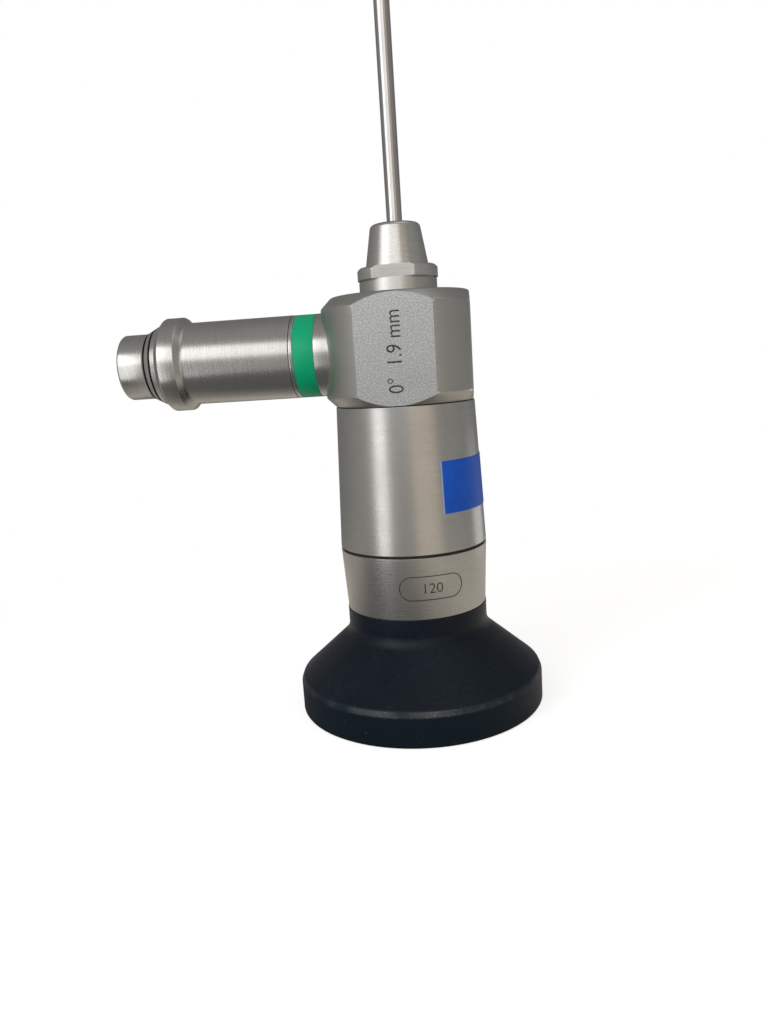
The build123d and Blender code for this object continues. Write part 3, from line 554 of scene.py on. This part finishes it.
block = turned("housing_block_milled", [
    (CHAMBER_R, block_low.z),
    (SPIGOT_R, block_low.z),
    (SPIGOT_R, BLOCK_FOOT_Z),
    (BLOCK_R - BLOCK_CHAMFER_LOW, BLOCK_FOOT_Z),
    (BLOCK_R, BLOCK_FOOT_Z + BLOCK_CHAMFER_LOW),
    (BLOCK_R, BLOCK_TOP_Z - BLOCK_CHAMFER_TOP),
    (BLOCK_R - BLOCK_CHAMFER_TOP, BLOCK_TOP_Z),
    (NECK_R, BLOCK_TOP_Z),
    (NECK_R, block_high.z - NECK_GAP),
    (NECK_R - NECK_STEP, block_high.z - NECK_GAP),
    (NECK_R - NECK_STEP, block_high.z),
    (NECK_BORE_R, block_high.z),
    (NECK_BORE_R, CHAMBER_TOP_Z),
    (CHAMBER_R, CHAMBER_TOP_Z),
])
round_edges(block, [(BLOCK_R, BLOCK_FOOT_Z + BLOCK_CHAMFER_LOW),
                    (BLOCK_R, BLOCK_TOP_Z - BLOCK_CHAMFER_TOP),
                    (BLOCK_R - BLOCK_CHAMFER_TOP, BLOCK_TOP_Z)], BLOCK_EDGE, 5)
for turn_deg, distance in FLATS:
    mill_flat(block, turn_deg, distance)
cut_hole(block, "seat_drill", POST_R + SEAT_FIT, POST_SEAT, 2 * BLOCK_R)
cut_hole(block, "spigot_drill", SPIGOT_HOLE_R, 0, BLOCK_R)
apply_modifier(block, "BEVEL", width=BLOCK_BEVEL, segments=3, limit_method="ANGLE",
               angle_limit=radians(24), use_clamp_overlap=True)
smooth(block)
# The bevels along the flats' edges get a steel much brighter than the rest. This is a painted
# highlight, on an edge that is also polished smoother.
painted_edge_highlight = turned_steel("block_edge_painted_highlight", 2, 0.20, 1.0, EDGE_HIGHLIGHT, EDGE_HIGHLIGHT_DULL)
bar_steel = turned_steel("block_turned_steel", 2, 0.33, 1.0, BAR_STEEL)
fitted(block, "scope", "blasted_steel", bar_steel, "housing_block")
block.data.materials.append(blasted_steel("block_blasted_steel"))
block.data.materials.append(painted_edge_highlight)
for face in block.data.polygons:
    away = Vector((face.center.x, face.center.y, 0)).normalized()
    if not BLOCK_FOOT_Z + FACE_MARGIN < face.center.z < BLOCK_TOP_Z - FACE_MARGIN:
        continue
    for turn_deg, distance in FLATS:
        across = outward(turn_deg)
        depth = abs(face.center.dot(across) - distance)
        if face.normal.dot(across) > FACE_TRUE and depth < FACE_NEAR:
            face.material_index = 1
        # Bevel faces along a flat's edge take the painted-highlight steel.
        elif depth < BLOCK_HIGHLIGHT_REACH and abs(face.normal.z) < EDGE_STEEP:
            if face.normal.dot(away) < FACE_TRUE and face.normal.dot(across) > EDGE_TRUE:
                face.material_index = 2

# Cone socket: a flange with two spanner flats, and a blunt cone. It is screwed into the
# block's neck and holds the shaft. It is turned steel with a satin finish.
socket_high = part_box("cone_socket")[1]
FLANGE_R, FLANGE_H = 4.97 * MM, 1.5 * MM
FLANGE_FLAT = FLANGE_R - 0.72 * MM
FLANGE_TURN = -1.9
FLANGE_CHAMFER, FLANGE_BEVEL, FLANGE_SMOOTH = 0.3 * MM, 0.035 * MM, 24
CONE_FOOT_R, CONE_TOP_R = 3.90 * MM, 3.03 * MM
FLANGE_TOP_Z = block_high.z + FLANGE_H
ROOT_R = 1.25 * MM
ROOT_TAPER = 0.3 * MM
CONE_SINK, CONE_ROUND = 0.05 * MM, 0.5 * MM
BRAZE_GAP = 0.02 * MM
CONE_STEEL = (0.60, 0.595, 0.57, 1)

flange = turned("cone_socket_flange", [
    (ROOT_R + BRAZE_GAP, block_high.z),
    (FLANGE_R, block_high.z),
    (FLANGE_R, FLANGE_TOP_Z - FLANGE_CHAMFER),
    (FLANGE_R - FLANGE_CHAMFER, FLANGE_TOP_Z),
    (ROOT_R + BRAZE_GAP, FLANGE_TOP_Z),
])
for side in (90, 270):
    mill_flat(flange, side + FLANGE_TURN, FLANGE_FLAT)
apply_modifier(flange, "BEVEL", width=FLANGE_BEVEL, segments=3, limit_method="ANGLE",
               angle_limit=radians(22), use_clamp_overlap=True)
cone = turned("cone_socket_cone", [
    (ROOT_R + BRAZE_GAP, FLANGE_TOP_Z - CONE_SINK),
    (CONE_FOOT_R, FLANGE_TOP_Z - CONE_SINK),
    (CONE_TOP_R, socket_high.z),
    (ROOT_R + BRAZE_GAP, socket_high.z),
])
round_edges(cone, [(CONE_TOP_R, socket_high.z)], CONE_ROUND, 8)
smooth(flange, FLANGE_SMOOTH)
smooth(cone)
cone_steel = turned_steel("satin_steel_cone", 2, 0.26, 1.0, CONE_STEEL)
flange_steel = turned_steel("satin_steel_flange", 2, 0.34, 0.4, CONE_STEEL)
fitted(flange, "scope", "satin_steel", flange_steel, "cone_socket")
fitted(cone, "scope", "satin_steel", cone_steel, "cone_socket")

# Shaft: the long polished outer tube, brazed into the cone. Its tip is ground square, with
# the ring of light fibres round the front window.
shaft_low, shaft_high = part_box("shaft_tube")
SHAFT_R, SHAFT_BORE_R, SHAFT_ROUND = 0.95 * MM, 0.78 * MM, 0.06 * MM
POLISHED, POLISHED_DULL = (0.48, 0.465, 0.460, 1), (0.41, 0.395, 0.390, 1)
HAIRLINES = (9000.0, 9000.0, 60.0)


def polished_steel(name):
    """Mirror-bright drawn tube with hairline marks along it and a few dull smears."""
    material, add, shader, place = material_start(name, 1.0, 0.12)
    smear = spots(add, place, 120, 0.45, 0.75)
    feed(shader, "Base Color", blend_colour(add, smear, POLISHED, POLISHED_DULL))
    feed(shader, "Roughness", ramp(add, smear, low=0.10, high=0.20))
    hair = add("ShaderNodeVectorMath", {0: place, 1: HAIRLINES}, operation="MULTIPLY").outputs[0]
    lines = add("ShaderNodeTexNoise", {"Vector": hair, "Scale": 1.0, "Detail": 2.0})
    roughen(add, shader, lines.outputs[0], 0.05, 0.01 * MM)
    return material


shaft = turned("shaft_tube_drawn", [
    (SHAFT_BORE_R, shaft_low.z),
    (ROOT_R, shaft_low.z),
    (ROOT_R, socket_high.z - ROOT_TAPER),
    (SHAFT_R, socket_high.z),
    (SHAFT_R, shaft_high.z),
    (SHAFT_BORE_R, shaft_high.z),
], COARSE)
round_edges(shaft, [(SHAFT_R, shaft_high.z)], SHAFT_ROUND, 3)
smooth(shaft)
fitted(shaft, "scope", "polished_steel", polished_steel("shaft_steel"), "shaft_tube")

# Marks: plain size marks, laser-blackened on the block's front flat and on the lower ring. They
# are thin dark films that lie on the steel.
MARK_LIFT, MARK_T = 0.012 * MM, 0.006 * MM
BLOCK_MARK, BLOCK_MARK_SIZE, BLOCK_MARK_NARROW = "0\u00b0  1.9 mm", 2.53 * MM, 0.85
BLOCK_MARK_PLACE = (0.80 * MM, 41.0 * MM)
RING_MARK, RING_MARK_SIZE = "120", 1.85 * MM
RING_MARK_TURN, RING_MARK_Z = -72, 17.5 * MM
RING_MARK_THIN, RING_MARK_DROP = 0.008, 0.36
RING_FRAME_W, RING_FRAME_H, RING_FRAME_LINE = 8.2 * MM, 3.1 * MM, 0.12 * MM
OXIDE, OXIDE_THIN = (0.045, 0.040, 0.036, 1), (0.14, 0.13, 0.12, 1)


def laser_black(name):
    """Thin dark oxide, a little uneven where the steel shows through."""
    material, add, shader, place = material_start(name, 0.4, 0.5)
    thin = spots(add, place, 3000, 0.45, 0.75)
    feed(shader, "Base Color", blend_colour(add, thin, OXIDE, OXIDE_THIN))
    return material


def lettering(name, words, size, narrow=1.0, thin=0.0):
    """Flat lettering as a thin mesh in the XZ plane, facing -Y, with its corner at the origin."""
    deselect_all()
    bpy.ops.object.text_add(rotation=(pi / 2, 0, 0))
    letters = bpy.context.object
    letters.name = name
    letters.data.body = words
    letters.data.extrude = MARK_T / 2 / size
    letters.data.offset = -thin
    letters.data.resolution_u = 6
    bpy.ops.object.convert(target="MESH")
    letters.scale = (size * narrow, size, size)
    bpy.ops.object.transform_apply()
    return letters


def placed(piece, location, rotation=(0, 0, 0)):
    """Move and turn a piece, and apply both."""
    select_only(piece)
    piece.location = location
    piece.rotation_euler = rotation
    bpy.ops.object.transform_apply()


def wrapped_on_ring(piece):
    """Bend a flat mark round the tapered lower ring, keeping its widths."""
    for point in piece.data.vertices:
        share = (point.co.z - cup_high.z) / (joint_z - cup_high.z)
        radius = RING_FOOT_R + (RING_JOINT_R - RING_FOOT_R) * share
        turn = radians(RING_MARK_TURN) + point.co.x / radius
        radius += MARK_LIFT - point.co.y
        point.co.x = radius * cos(turn)
        point.co.y = radius * sin(turn)


mark_black = laser_black("laser_black")
block_mark = lettering("block_size_mark", BLOCK_MARK, BLOCK_MARK_SIZE, BLOCK_MARK_NARROW)
placed(block_mark, (BLOCK_MARK_PLACE[0], -FRONT_FLAT - MARK_LIFT, BLOCK_MARK_PLACE[1]),
       (0, -pi / 2, 0))
fitted(block_mark, "scope", "blasted_steel", mark_black)

ring_mark = lettering("ring_number_mark", RING_MARK, RING_MARK_SIZE, thin=RING_MARK_THIN)
width = max(point.co.x for point in ring_mark.data.vertices)
placed(ring_mark, (-width / 2, 0, RING_MARK_Z - RING_MARK_DROP * RING_MARK_SIZE))
wrapped_on_ring(ring_mark)
fitted(ring_mark, "scope", "satin_steel", mark_black)

deselect_all()
half_flat, bow = (RING_FRAME_W - RING_FRAME_H) / 2, RING_FRAME_H / 2
bpy.ops.mesh.primitive_circle_add(vertices=COARSE, radius=bow, fill_type="NGON",
                                  rotation=(pi / 2, pi / COARSE, 0))
frame_mark = bpy.context.object
frame_mark.name = "ring_oval_mark"
bpy.ops.object.transform_apply()
for point in frame_mark.data.vertices:
    point.co.x += half_flat if point.co.x > 0 else -half_flat
bpy.ops.object.mode_set(mode="EDIT")
bpy.ops.mesh.select_mode(type="EDGE")
bpy.ops.object.mode_set(mode="OBJECT")
for edge in frame_mark.data.edges:
    sides = [frame_mark.data.vertices[i].co.x > 0 for i in edge.vertices]
    edge.select = sides[0] != sides[1]
bpy.ops.object.mode_set(mode="EDIT")
bpy.ops.mesh.subdivide(number_cuts=24)
bpy.ops.mesh.select_all(action="SELECT")
bpy.ops.mesh.inset(thickness=RING_FRAME_LINE)
bpy.ops.mesh.delete(type="FACE")
bpy.ops.object.mode_set(mode="OBJECT")
apply_modifier(frame_mark, "SOLIDIFY", thickness=MARK_T)
placed(frame_mark, (0, 0, RING_MARK_Z))
wrapped_on_ring(frame_mark)
fitted(frame_mark, "scope", "satin_steel", mark_black)

# Light post: the side post, seated in the block. It has a groove for the colour ring, a lip
# at the joint line and, under the adapter, a core with a fine thread.
seal_low, seal_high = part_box("adapter_seal")
ring_near, ring_far = -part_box("colour_ring")[1].x, -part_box("colour_ring")[0].x
POST_ROOT, POST_FACE = POST_SEAT - 3.4 * MM, ring_far + 0.49 * MM
POST_SPIGOT_R, POST_HOLE_R = 3.5 * MM, 2.12 * MM
RING_FLOOR_R = POST_R - 0.6 * MM
CORE_R, CORE_END = 3.6 * MM, -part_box("light_post")[0].x
SEAL_FLOOR_R = CORE_R - 0.7 * MM
RING_FIT = 0.02 * MM
SEAL_NEAR, SEAL_FAR = -seal_high.x - RING_FIT, -seal_low.x + RING_FIT
THREAD_PITCH, THREAD_DEPTH = 0.5 * MM, 0.22 * MM
THREAD_START, THREAD_END = SEAL_FAR + 1.0 * MM, CORE_END - 1.5 * MM
LIP_ROUND, CORE_ROUND = 0.05 * MM, 0.3 * MM


def laid_along_post(piece):
    """Tip a piece, turned upright at the origin, over on to the light post's axis."""
    placed(piece, (0, 0, POST_Z), (0, -pi / 2, 0))


thread = []
spot = THREAD_START
while spot < THREAD_END:
    thread += [(CORE_R, spot), (CORE_R - THREAD_DEPTH, spot + THREAD_PITCH / 2)]
    spot += THREAD_PITCH
post = turned("light_post_turned", [
    (POST_HOLE_R, POST_ROOT),
    (POST_SPIGOT_R, POST_ROOT),
    (POST_SPIGOT_R, POST_SEAT),
    (POST_R, POST_SEAT),
    (POST_R, ring_near - RING_FIT),
    (RING_FLOOR_R, ring_near - RING_FIT),
    (RING_FLOOR_R, ring_far + RING_FIT),
    (POST_R, ring_far + RING_FIT),
    (POST_R, POST_FACE),
    (CORE_R, POST_FACE),
    (CORE_R, SEAL_NEAR),
    (SEAL_FLOOR_R, SEAL_NEAR),
    (SEAL_FLOOR_R, SEAL_FAR),
    (CORE_R, SEAL_FAR),
    *thread,
    (CORE_R, spot),
    (CORE_R, CORE_END),
    (POST_HOLE_R, CORE_END),
])
round_edges(post, [(POST_R, POST_FACE), (POST_R, ring_far + RING_FIT),
                   (POST_R, ring_near - RING_FIT)], LIP_ROUND, 3)
round_edges(post, [(CORE_R, CORE_END)], CORE_ROUND, 2)
laid_along_post(post)
smooth(post)
post_steel = turned_steel("satin_steel_post", 0, roughness=0.24)
fitted(post, "scope", "satin_steel", post_steel, "light_post")

# Colour ring: the green ring that tells the direction of view, inlaid flush in the post's
# groove. It is smooth coloured resin.
RESIN_GREEN, RESIN_DEEP = (0.003, 0.500, 0.235, 1), (0.003, 0.430, 0.200, 1)
RESIN_PIT = (0.06, 0.42, 0.24, 1)
RESIN_ROUND = 0.04 * MM


def ring_resin(name):
    """Smooth green resin, slightly uneven in depth, with tiny pits."""
    material, add, shader, place = material_start(name, 0.0, 0.38)
    shader.inputs["Specular IOR Level"].default_value = 0.25
    tone = blend_colour(add, spots(add, place, 380, 0.3, 0.8), RESIN_GREEN, RESIN_DEEP)
    pits = spots(add, place, 2800, 0.70, 0.75, 2.0)
    feed(shader, "Base Color", blend_colour(add, pits, tone, RESIN_PIT))
    wave = add("ShaderNodeTexNoise", {"Vector": place, "Scale": 500.0, "Detail": 2.0})
    roughen(add, shader, wave.outputs[0], 0.12, 0.02 * MM)
    return material


green = turned("colour_ring_inlay", [
    (RING_FLOOR_R + RING_FIT, ring_near),
    (POST_R, ring_near),
    (POST_R, ring_far),
    (RING_FLOOR_R + RING_FIT, ring_far),
])
round_edges(green, [(POST_R, ring_near), (POST_R, ring_far)], RESIN_ROUND, 2)
laid_along_post(green)
smooth(green)
fitted(green, "scope", "green_ring", ring_resin("green_resin"), "colour_ring")

# Light adapter: one turned piece that screws on the post's core. It has a sleeve, a chamfered
# collar, two snap grooves and the tip that a light cable slides over.
adapter_low, adapter_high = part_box("light_adapter")
ADAPTER_NEAR, ADAPTER_TIP = -adapter_high.x, -adapter_low.x
ADAPTER_R = 5.20 * MM
COLLAR_R, COLLAR_W = 5.93 * MM, 2.08 * MM
COLLAR_NEAR = ADAPTER_TIP - 8.19 * MM
COLLAR_FAR = COLLAR_NEAR + COLLAR_W
FOOT_R, FOOT_STEP = 5.30 * MM, 0.16 * MM
FOOT_AT = COLLAR_FAR + COLLAR_R - FOOT_R
TIP_R, TIP_START = 4.17 * MM, ADAPTER_TIP - 3.3 * MM
GROOVES, GROOVE_HALF, GROOVE_DEPTH = (0.80 * MM, 1.72 * MM), 0.17 * MM, 0.35 * MM
ADAPTER_BORE_R, TIP_BORE_R, COUNTERSINK = 3.67 * MM, 2.17 * MM, 0.9 * MM
CORE_STEP = CORE_END + 0.4 * MM
COLLAR_FOOT = COLLAR_NEAR - (COLLAR_R - ADAPTER_R)
NEAR_ROUND, COLLAR_ROUND = 0.05 * MM, 0.10 * MM
FOOT_ROUND, TIP_ROUND = 0.25 * MM, 0.35 * MM
# The grooves' darker steel is painted shade in the recesses.
GROOVE_PAINTED_SHADE, GROOVE_PAINTED_SHADE_DULL = (0.24, 0.225, 0.21, 1), (0.14, 0.13, 0.12, 1)
GROOVE_SHOWN, WALL_LEAST = 0.12 * MM, 0.5 * MM


def foot_radius(distance):
    """Radius of the grooved cone between the collar's foot and the tip."""
    share = (distance - FOOT_AT) / (TIP_START - FOOT_AT)
    return FOOT_R + (TIP_R - FOOT_R) * share


grooved = []
for offset in GROOVES:
    spot = FOOT_AT + offset
    grooved += [
        (foot_radius(spot - GROOVE_HALF), spot - GROOVE_HALF),
        (foot_radius(spot) - GROOVE_DEPTH, spot - GROOVE_HALF / 3),
        (foot_radius(spot) - GROOVE_DEPTH, spot + GROOVE_HALF / 3),
        (foot_radius(spot + GROOVE_HALF), spot + GROOVE_HALF),
    ]
adapter = turned("light_adapter_turned", [
    (ADAPTER_BORE_R, ADAPTER_NEAR),
    (ADAPTER_R, ADAPTER_NEAR),
    (ADAPTER_R, COLLAR_FOOT),
    (COLLAR_R, COLLAR_NEAR),
    (COLLAR_R, COLLAR_FAR),
    (FOOT_R, FOOT_AT),
    (FOOT_R - FOOT_STEP, FOOT_AT),
    *grooved,
    (TIP_R, TIP_START),
    (TIP_R, ADAPTER_TIP),
    (TIP_BORE_R + COUNTERSINK, ADAPTER_TIP),
    (TIP_BORE_R, ADAPTER_TIP - COUNTERSINK),
    (TIP_BORE_R, CORE_STEP),
    (ADAPTER_BORE_R, CORE_STEP),
])
round_edges(adapter, [(ADAPTER_R, ADAPTER_NEAR)], NEAR_ROUND, 3)
round_edges(adapter, [(COLLAR_R, COLLAR_NEAR), (COLLAR_R, COLLAR_FAR), (FOOT_R, FOOT_AT)],
            COLLAR_ROUND)
round_edges(adapter, [(ADAPTER_R, COLLAR_FOOT)], FOOT_ROUND)
round_edges(adapter, [(TIP_R, ADAPTER_TIP)], TIP_ROUND, 6)
laid_along_post(adapter)
smooth(adapter)
fitted(adapter, "adapter", "satin_steel", post_steel, "light_adapter")
# The groove floors get a darker steel: painted shade in the snap grooves.
groove_painted_shade_steel = turned_steel("groove_painted_shade_steel", 0, 0.36, 1.0, GROOVE_PAINTED_SHADE, GROOVE_PAINTED_SHADE_DULL)
adapter.data.materials.append(groove_painted_shade_steel)
for face in adapter.data.polygons:
    out = sqrt(face.center.y ** 2 + (face.center.z - POST_Z) ** 2)
    if FOOT_AT < -face.center.x < TIP_START:
        if TIP_BORE_R + WALL_LEAST < out < foot_radius(-face.center.x) - GROOVE_SHOWN:
            face.material_index = 1

# Light inlet: the ferrule runs through post and adapter and ends in a small window, and a square
# rubber seal sits in the core's groove. They are steel, glass and rubber.
ferrule_low, ferrule_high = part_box("fibre_ferrule")
FERRULE_NEAR, FERRULE_TIP = -ferrule_high.x, -ferrule_low.x
FERRULE_R, FIBRE_R = 2.1 * MM, 0.8 * MM
GLASS_R, GLASS_T = 1.6 * MM, 1.0 * MM
FERRULE_ROUND, SEAL_ROUND, GLASS_BEVEL = 0.06 * MM, 0.15 * MM, 0.05 * MM
GLASS_SMEAR = (0.93, 0.94, 0.95, 1)
FIBRE_PALE, FIBRE_DARK = (0.80, 0.78, 0.68, 1), (0.16, 0.14, 0.11, 1)


def optical_glass(name, tint):
    """Coated glass: a faint tint and a trace of smear on its polish."""
    material, add, shader, place = material_start(name, 0.0, 0.02)
    shader.inputs["Transmission Weight"].default_value = 1.0
    shader.inputs["IOR"].default_value = 1.52
    smear = spots(add, place, 700, 0.4, 0.8)
    feed(shader, "Base Color", blend_colour(add, smear, tint, GLASS_SMEAR))
    feed(shader, "Roughness", ramp(add, smear, low=0.01, high=0.06))
    return material


def fibre_ends(name):
    """Packed light fibres: a fine field of pale round ends with dark gaps."""
    material, add, shader, place = material_start(name, 0.0, 0.25)
    cells = add("ShaderNodeTexVoronoi", {"Vector": place, "Scale": 22000.0}).outputs[0]
    gap = ramp(add, cells, 0.35, 0.55)
    feed(shader, "Base Color", blend_colour(add, gap, FIBRE_PALE, FIBRE_DARK))
    return material


ferrule = turned("fibre_ferrule_tube", [
    (FIBRE_R + BRAZE_GAP, FERRULE_NEAR),
    (FERRULE_R, FERRULE_NEAR),
    (FERRULE_R, FERRULE_TIP),
    (GLASS_R + BRAZE_GAP, FERRULE_TIP),
    (GLASS_R + BRAZE_GAP, FERRULE_TIP - GLASS_T - BRAZE_GAP),
    (FIBRE_R + BRAZE_GAP, FERRULE_TIP - GLASS_T - BRAZE_GAP),
], COARSE)
round_edges(ferrule, [(FERRULE_R, FERRULE_TIP), (GLASS_R + BRAZE_GAP, FERRULE_TIP)],
            FERRULE_ROUND, 3)
laid_along_post(ferrule)
smooth(ferrule)
fitted(ferrule, "scope", "turned_steel", turned_steel("ferrule_steel", 0, 0.22), "fibre_ferrule")

seal = turned("adapter_seal_ring", [
    (SEAL_FLOOR_R + BRAZE_GAP, SEAL_NEAR + BRAZE_GAP),
    (CORE_R, SEAL_NEAR + BRAZE_GAP),
    (CORE_R, SEAL_FAR - BRAZE_GAP),
    (SEAL_FLOOR_R + BRAZE_GAP, SEAL_FAR - BRAZE_GAP),
], COARSE)
round_edges(seal, [(CORE_R, SEAL_NEAR + BRAZE_GAP), (CORE_R, SEAL_FAR - BRAZE_GAP)], SEAL_ROUND)
laid_along_post(seal)
smooth(seal)
fitted(seal, "scope", "dark_seal", seal_rubber, "adapter_seal")


def glass_disc(name, radius, low, high, bevel):
    """A flat glass disc: a filled circle, extruded, with its rims bevelled."""
    deselect_all()
    bpy.ops.mesh.primitive_circle_add(vertices=COARSE, radius=radius, fill_type="NGON",
                                      location=(0, 0, low))
    disc = bpy.context.object
    disc.name = name
    bpy.ops.object.transform_apply()
    bpy.ops.object.mode_set(mode="EDIT")
    bpy.ops.mesh.select_all(action="SELECT")
    bpy.ops.mesh.extrude_region_move(TRANSFORM_OT_translate={"value": (0, 0, high - low)})
    bpy.ops.mesh.select_all(action="SELECT")
    bpy.ops.mesh.normals_make_consistent(inside=False)
    bpy.ops.object.mode_set(mode="OBJECT")
    round_edges(disc, [(radius, low), (radius, high)], bevel, 2)
    return disc


inlet = glass_disc("light_window_disc", GLASS_R, FERRULE_TIP - GLASS_T, FERRULE_TIP, GLASS_BEVEL)
laid_along_post(inlet)
smooth(inlet)
clear_glass = optical_glass("clear_glass", (0.97, 0.99, 0.98, 1))
fitted(inlet, "scope", "optical_glass", clear_glass, "light_window")

# Tip of the shaft: the optic tube with its front window, inside the ring of light fibres. The
# pieces are ground flush with the outer tube.
tube_low, tube_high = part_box("optic_tube")
tip_window_low, tip_window_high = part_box("distal_window")
fibres_low, fibres_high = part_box("shaft_fibres")
FIBRE_GAP, TIP_BEVEL = 0.01 * MM, 0.02 * MM
OPTIC_R, OPTIC_BORE_R = 0.62 * MM, 0.54 * MM
fibre_glass = fibre_ends("fibre_ends")
optic = turned("optic_tube_drawn", [
    (OPTIC_BORE_R, tube_low.z),
    (OPTIC_R, tube_low.z),
    (OPTIC_R, tube_high.z),
    (OPTIC_BORE_R, tube_high.z),
], COARSE)
smooth(optic)
fitted(optic, "scope", "turned_steel", turned_steel("optic_tube_steel", 2, 0.2), "optic_tube")
fibre_ring = turned("shaft_fibre_ring", [
    (OPTIC_R + FIBRE_GAP, fibres_low.z),
    (SHAFT_BORE_R - FIBRE_GAP, fibres_low.z),
    (SHAFT_BORE_R - FIBRE_GAP, fibres_high.z),
    (OPTIC_R + FIBRE_GAP, fibres_high.z),
], COARSE)
smooth(fibre_ring)
fitted(fibre_ring, "scope", "fibre_glass", fibre_glass, "shaft_fibres")
front = glass_disc("distal_window_disc", OPTIC_BORE_R - FIBRE_GAP, tip_window_low.z,
                   tip_window_high.z, TIP_BEVEL)
smooth(front)
fitted(front, "scope", "optical_glass", clear_glass, "distal_window")

# Viewing window: a coated glass disc, soldered into its steel seat at the bottom of the
# eyecup's funnel. An eye or a camera looks in through it.
seat_low, seat_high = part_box("window_seat")
pane_low, pane_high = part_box("eyepiece_window")
PANE_R, SEAT_LIP = 5.6 * MM, 1.3 * MM
SEAT_ROUND, PANE_BEVEL = 0.08 * MM, 0.15 * MM
seat = turned("window_seat_turned", [
    (PANE_R + BRAZE_GAP, seat_low.z),
    (TAIL_R, seat_low.z),
    (TAIL_R, seat_high.z),
    (PANE_R + BRAZE_GAP - SEAT_LIP, seat_high.z),
    (PANE_R + BRAZE_GAP - SEAT_LIP, pane_high.z),
    (PANE_R + BRAZE_GAP, pane_high.z),
])
round_edges(seat, [(PANE_R + BRAZE_GAP, seat_low.z)], SEAT_ROUND, 3)
smooth(seat)
fitted(seat, "scope", "turned_steel", turned_steel("seat_steel", 2, 0.3), "window_seat")
pane = glass_disc("eyepiece_window_disc", PANE_R, pane_low.z, pane_high.z, PANE_BEVEL)
smooth(pane)
fitted(pane, "scope", "optical_glass", optical_glass("coated_glass", (0.86, 0.93, 0.96, 1)),
       "eyepiece_window")

# Inner pieces: they keep their own shapes. The ocular's mounts are black anodised, its bush is
# brass, the lenses and rods are glass, and the bundle is light fibres.
ANODISED, ANODISED_LINE = (0.015, 0.015, 0.017, 1), (0.05, 0.05, 0.055, 1)
BRASS, BRASS_DULL = (0.72, 0.52, 0.24, 1), (0.55, 0.38, 0.16, 1)


def anodised(name):
    """Black anodised aluminium with faint turning marks."""
    material, add, shader, place = material_start(name, 0.7, 0.45)
    along = add("ShaderNodeSeparateXYZ", {0: place}).outputs[2]
    lines = add("ShaderNodeTexNoise", {"W": along, "Scale": 7000.0}, noise_dimensions="1D")
    feed(shader, "Base Color", blend_colour(add, lines.outputs[0], ANODISED, ANODISED_LINE))
    return material


black_mount = anodised("black_anodised")
lens_glass = optical_glass("lens_glass", (0.95, 0.98, 1.0, 1))
bush_brass = turned_steel("bush_brass", 2, 0.3, 1.0, BRASS, BRASS_DULL)
spacer_steel = turned_steel("spacer_steel", 2, 0.3)
INNER = {
    black_mount: ("lens_cell", "cell_lock_ring", "lens_retainer", "lens_spacer", "stop_spacer",
                  "field_stop"),
    bush_brass: ("optic_bush",),
    lens_glass: ("ocular_lenses", "objective_lenses", "rod_lenses"),
    spacer_steel: ("rod_spacers",),
    fibre_glass: ("fibre_bundle",),
}
for material, nodes in INNER.items():
    for node in nodes:
        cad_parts[node].data.materials.clear()
        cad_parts[node].data.materials.append(material)
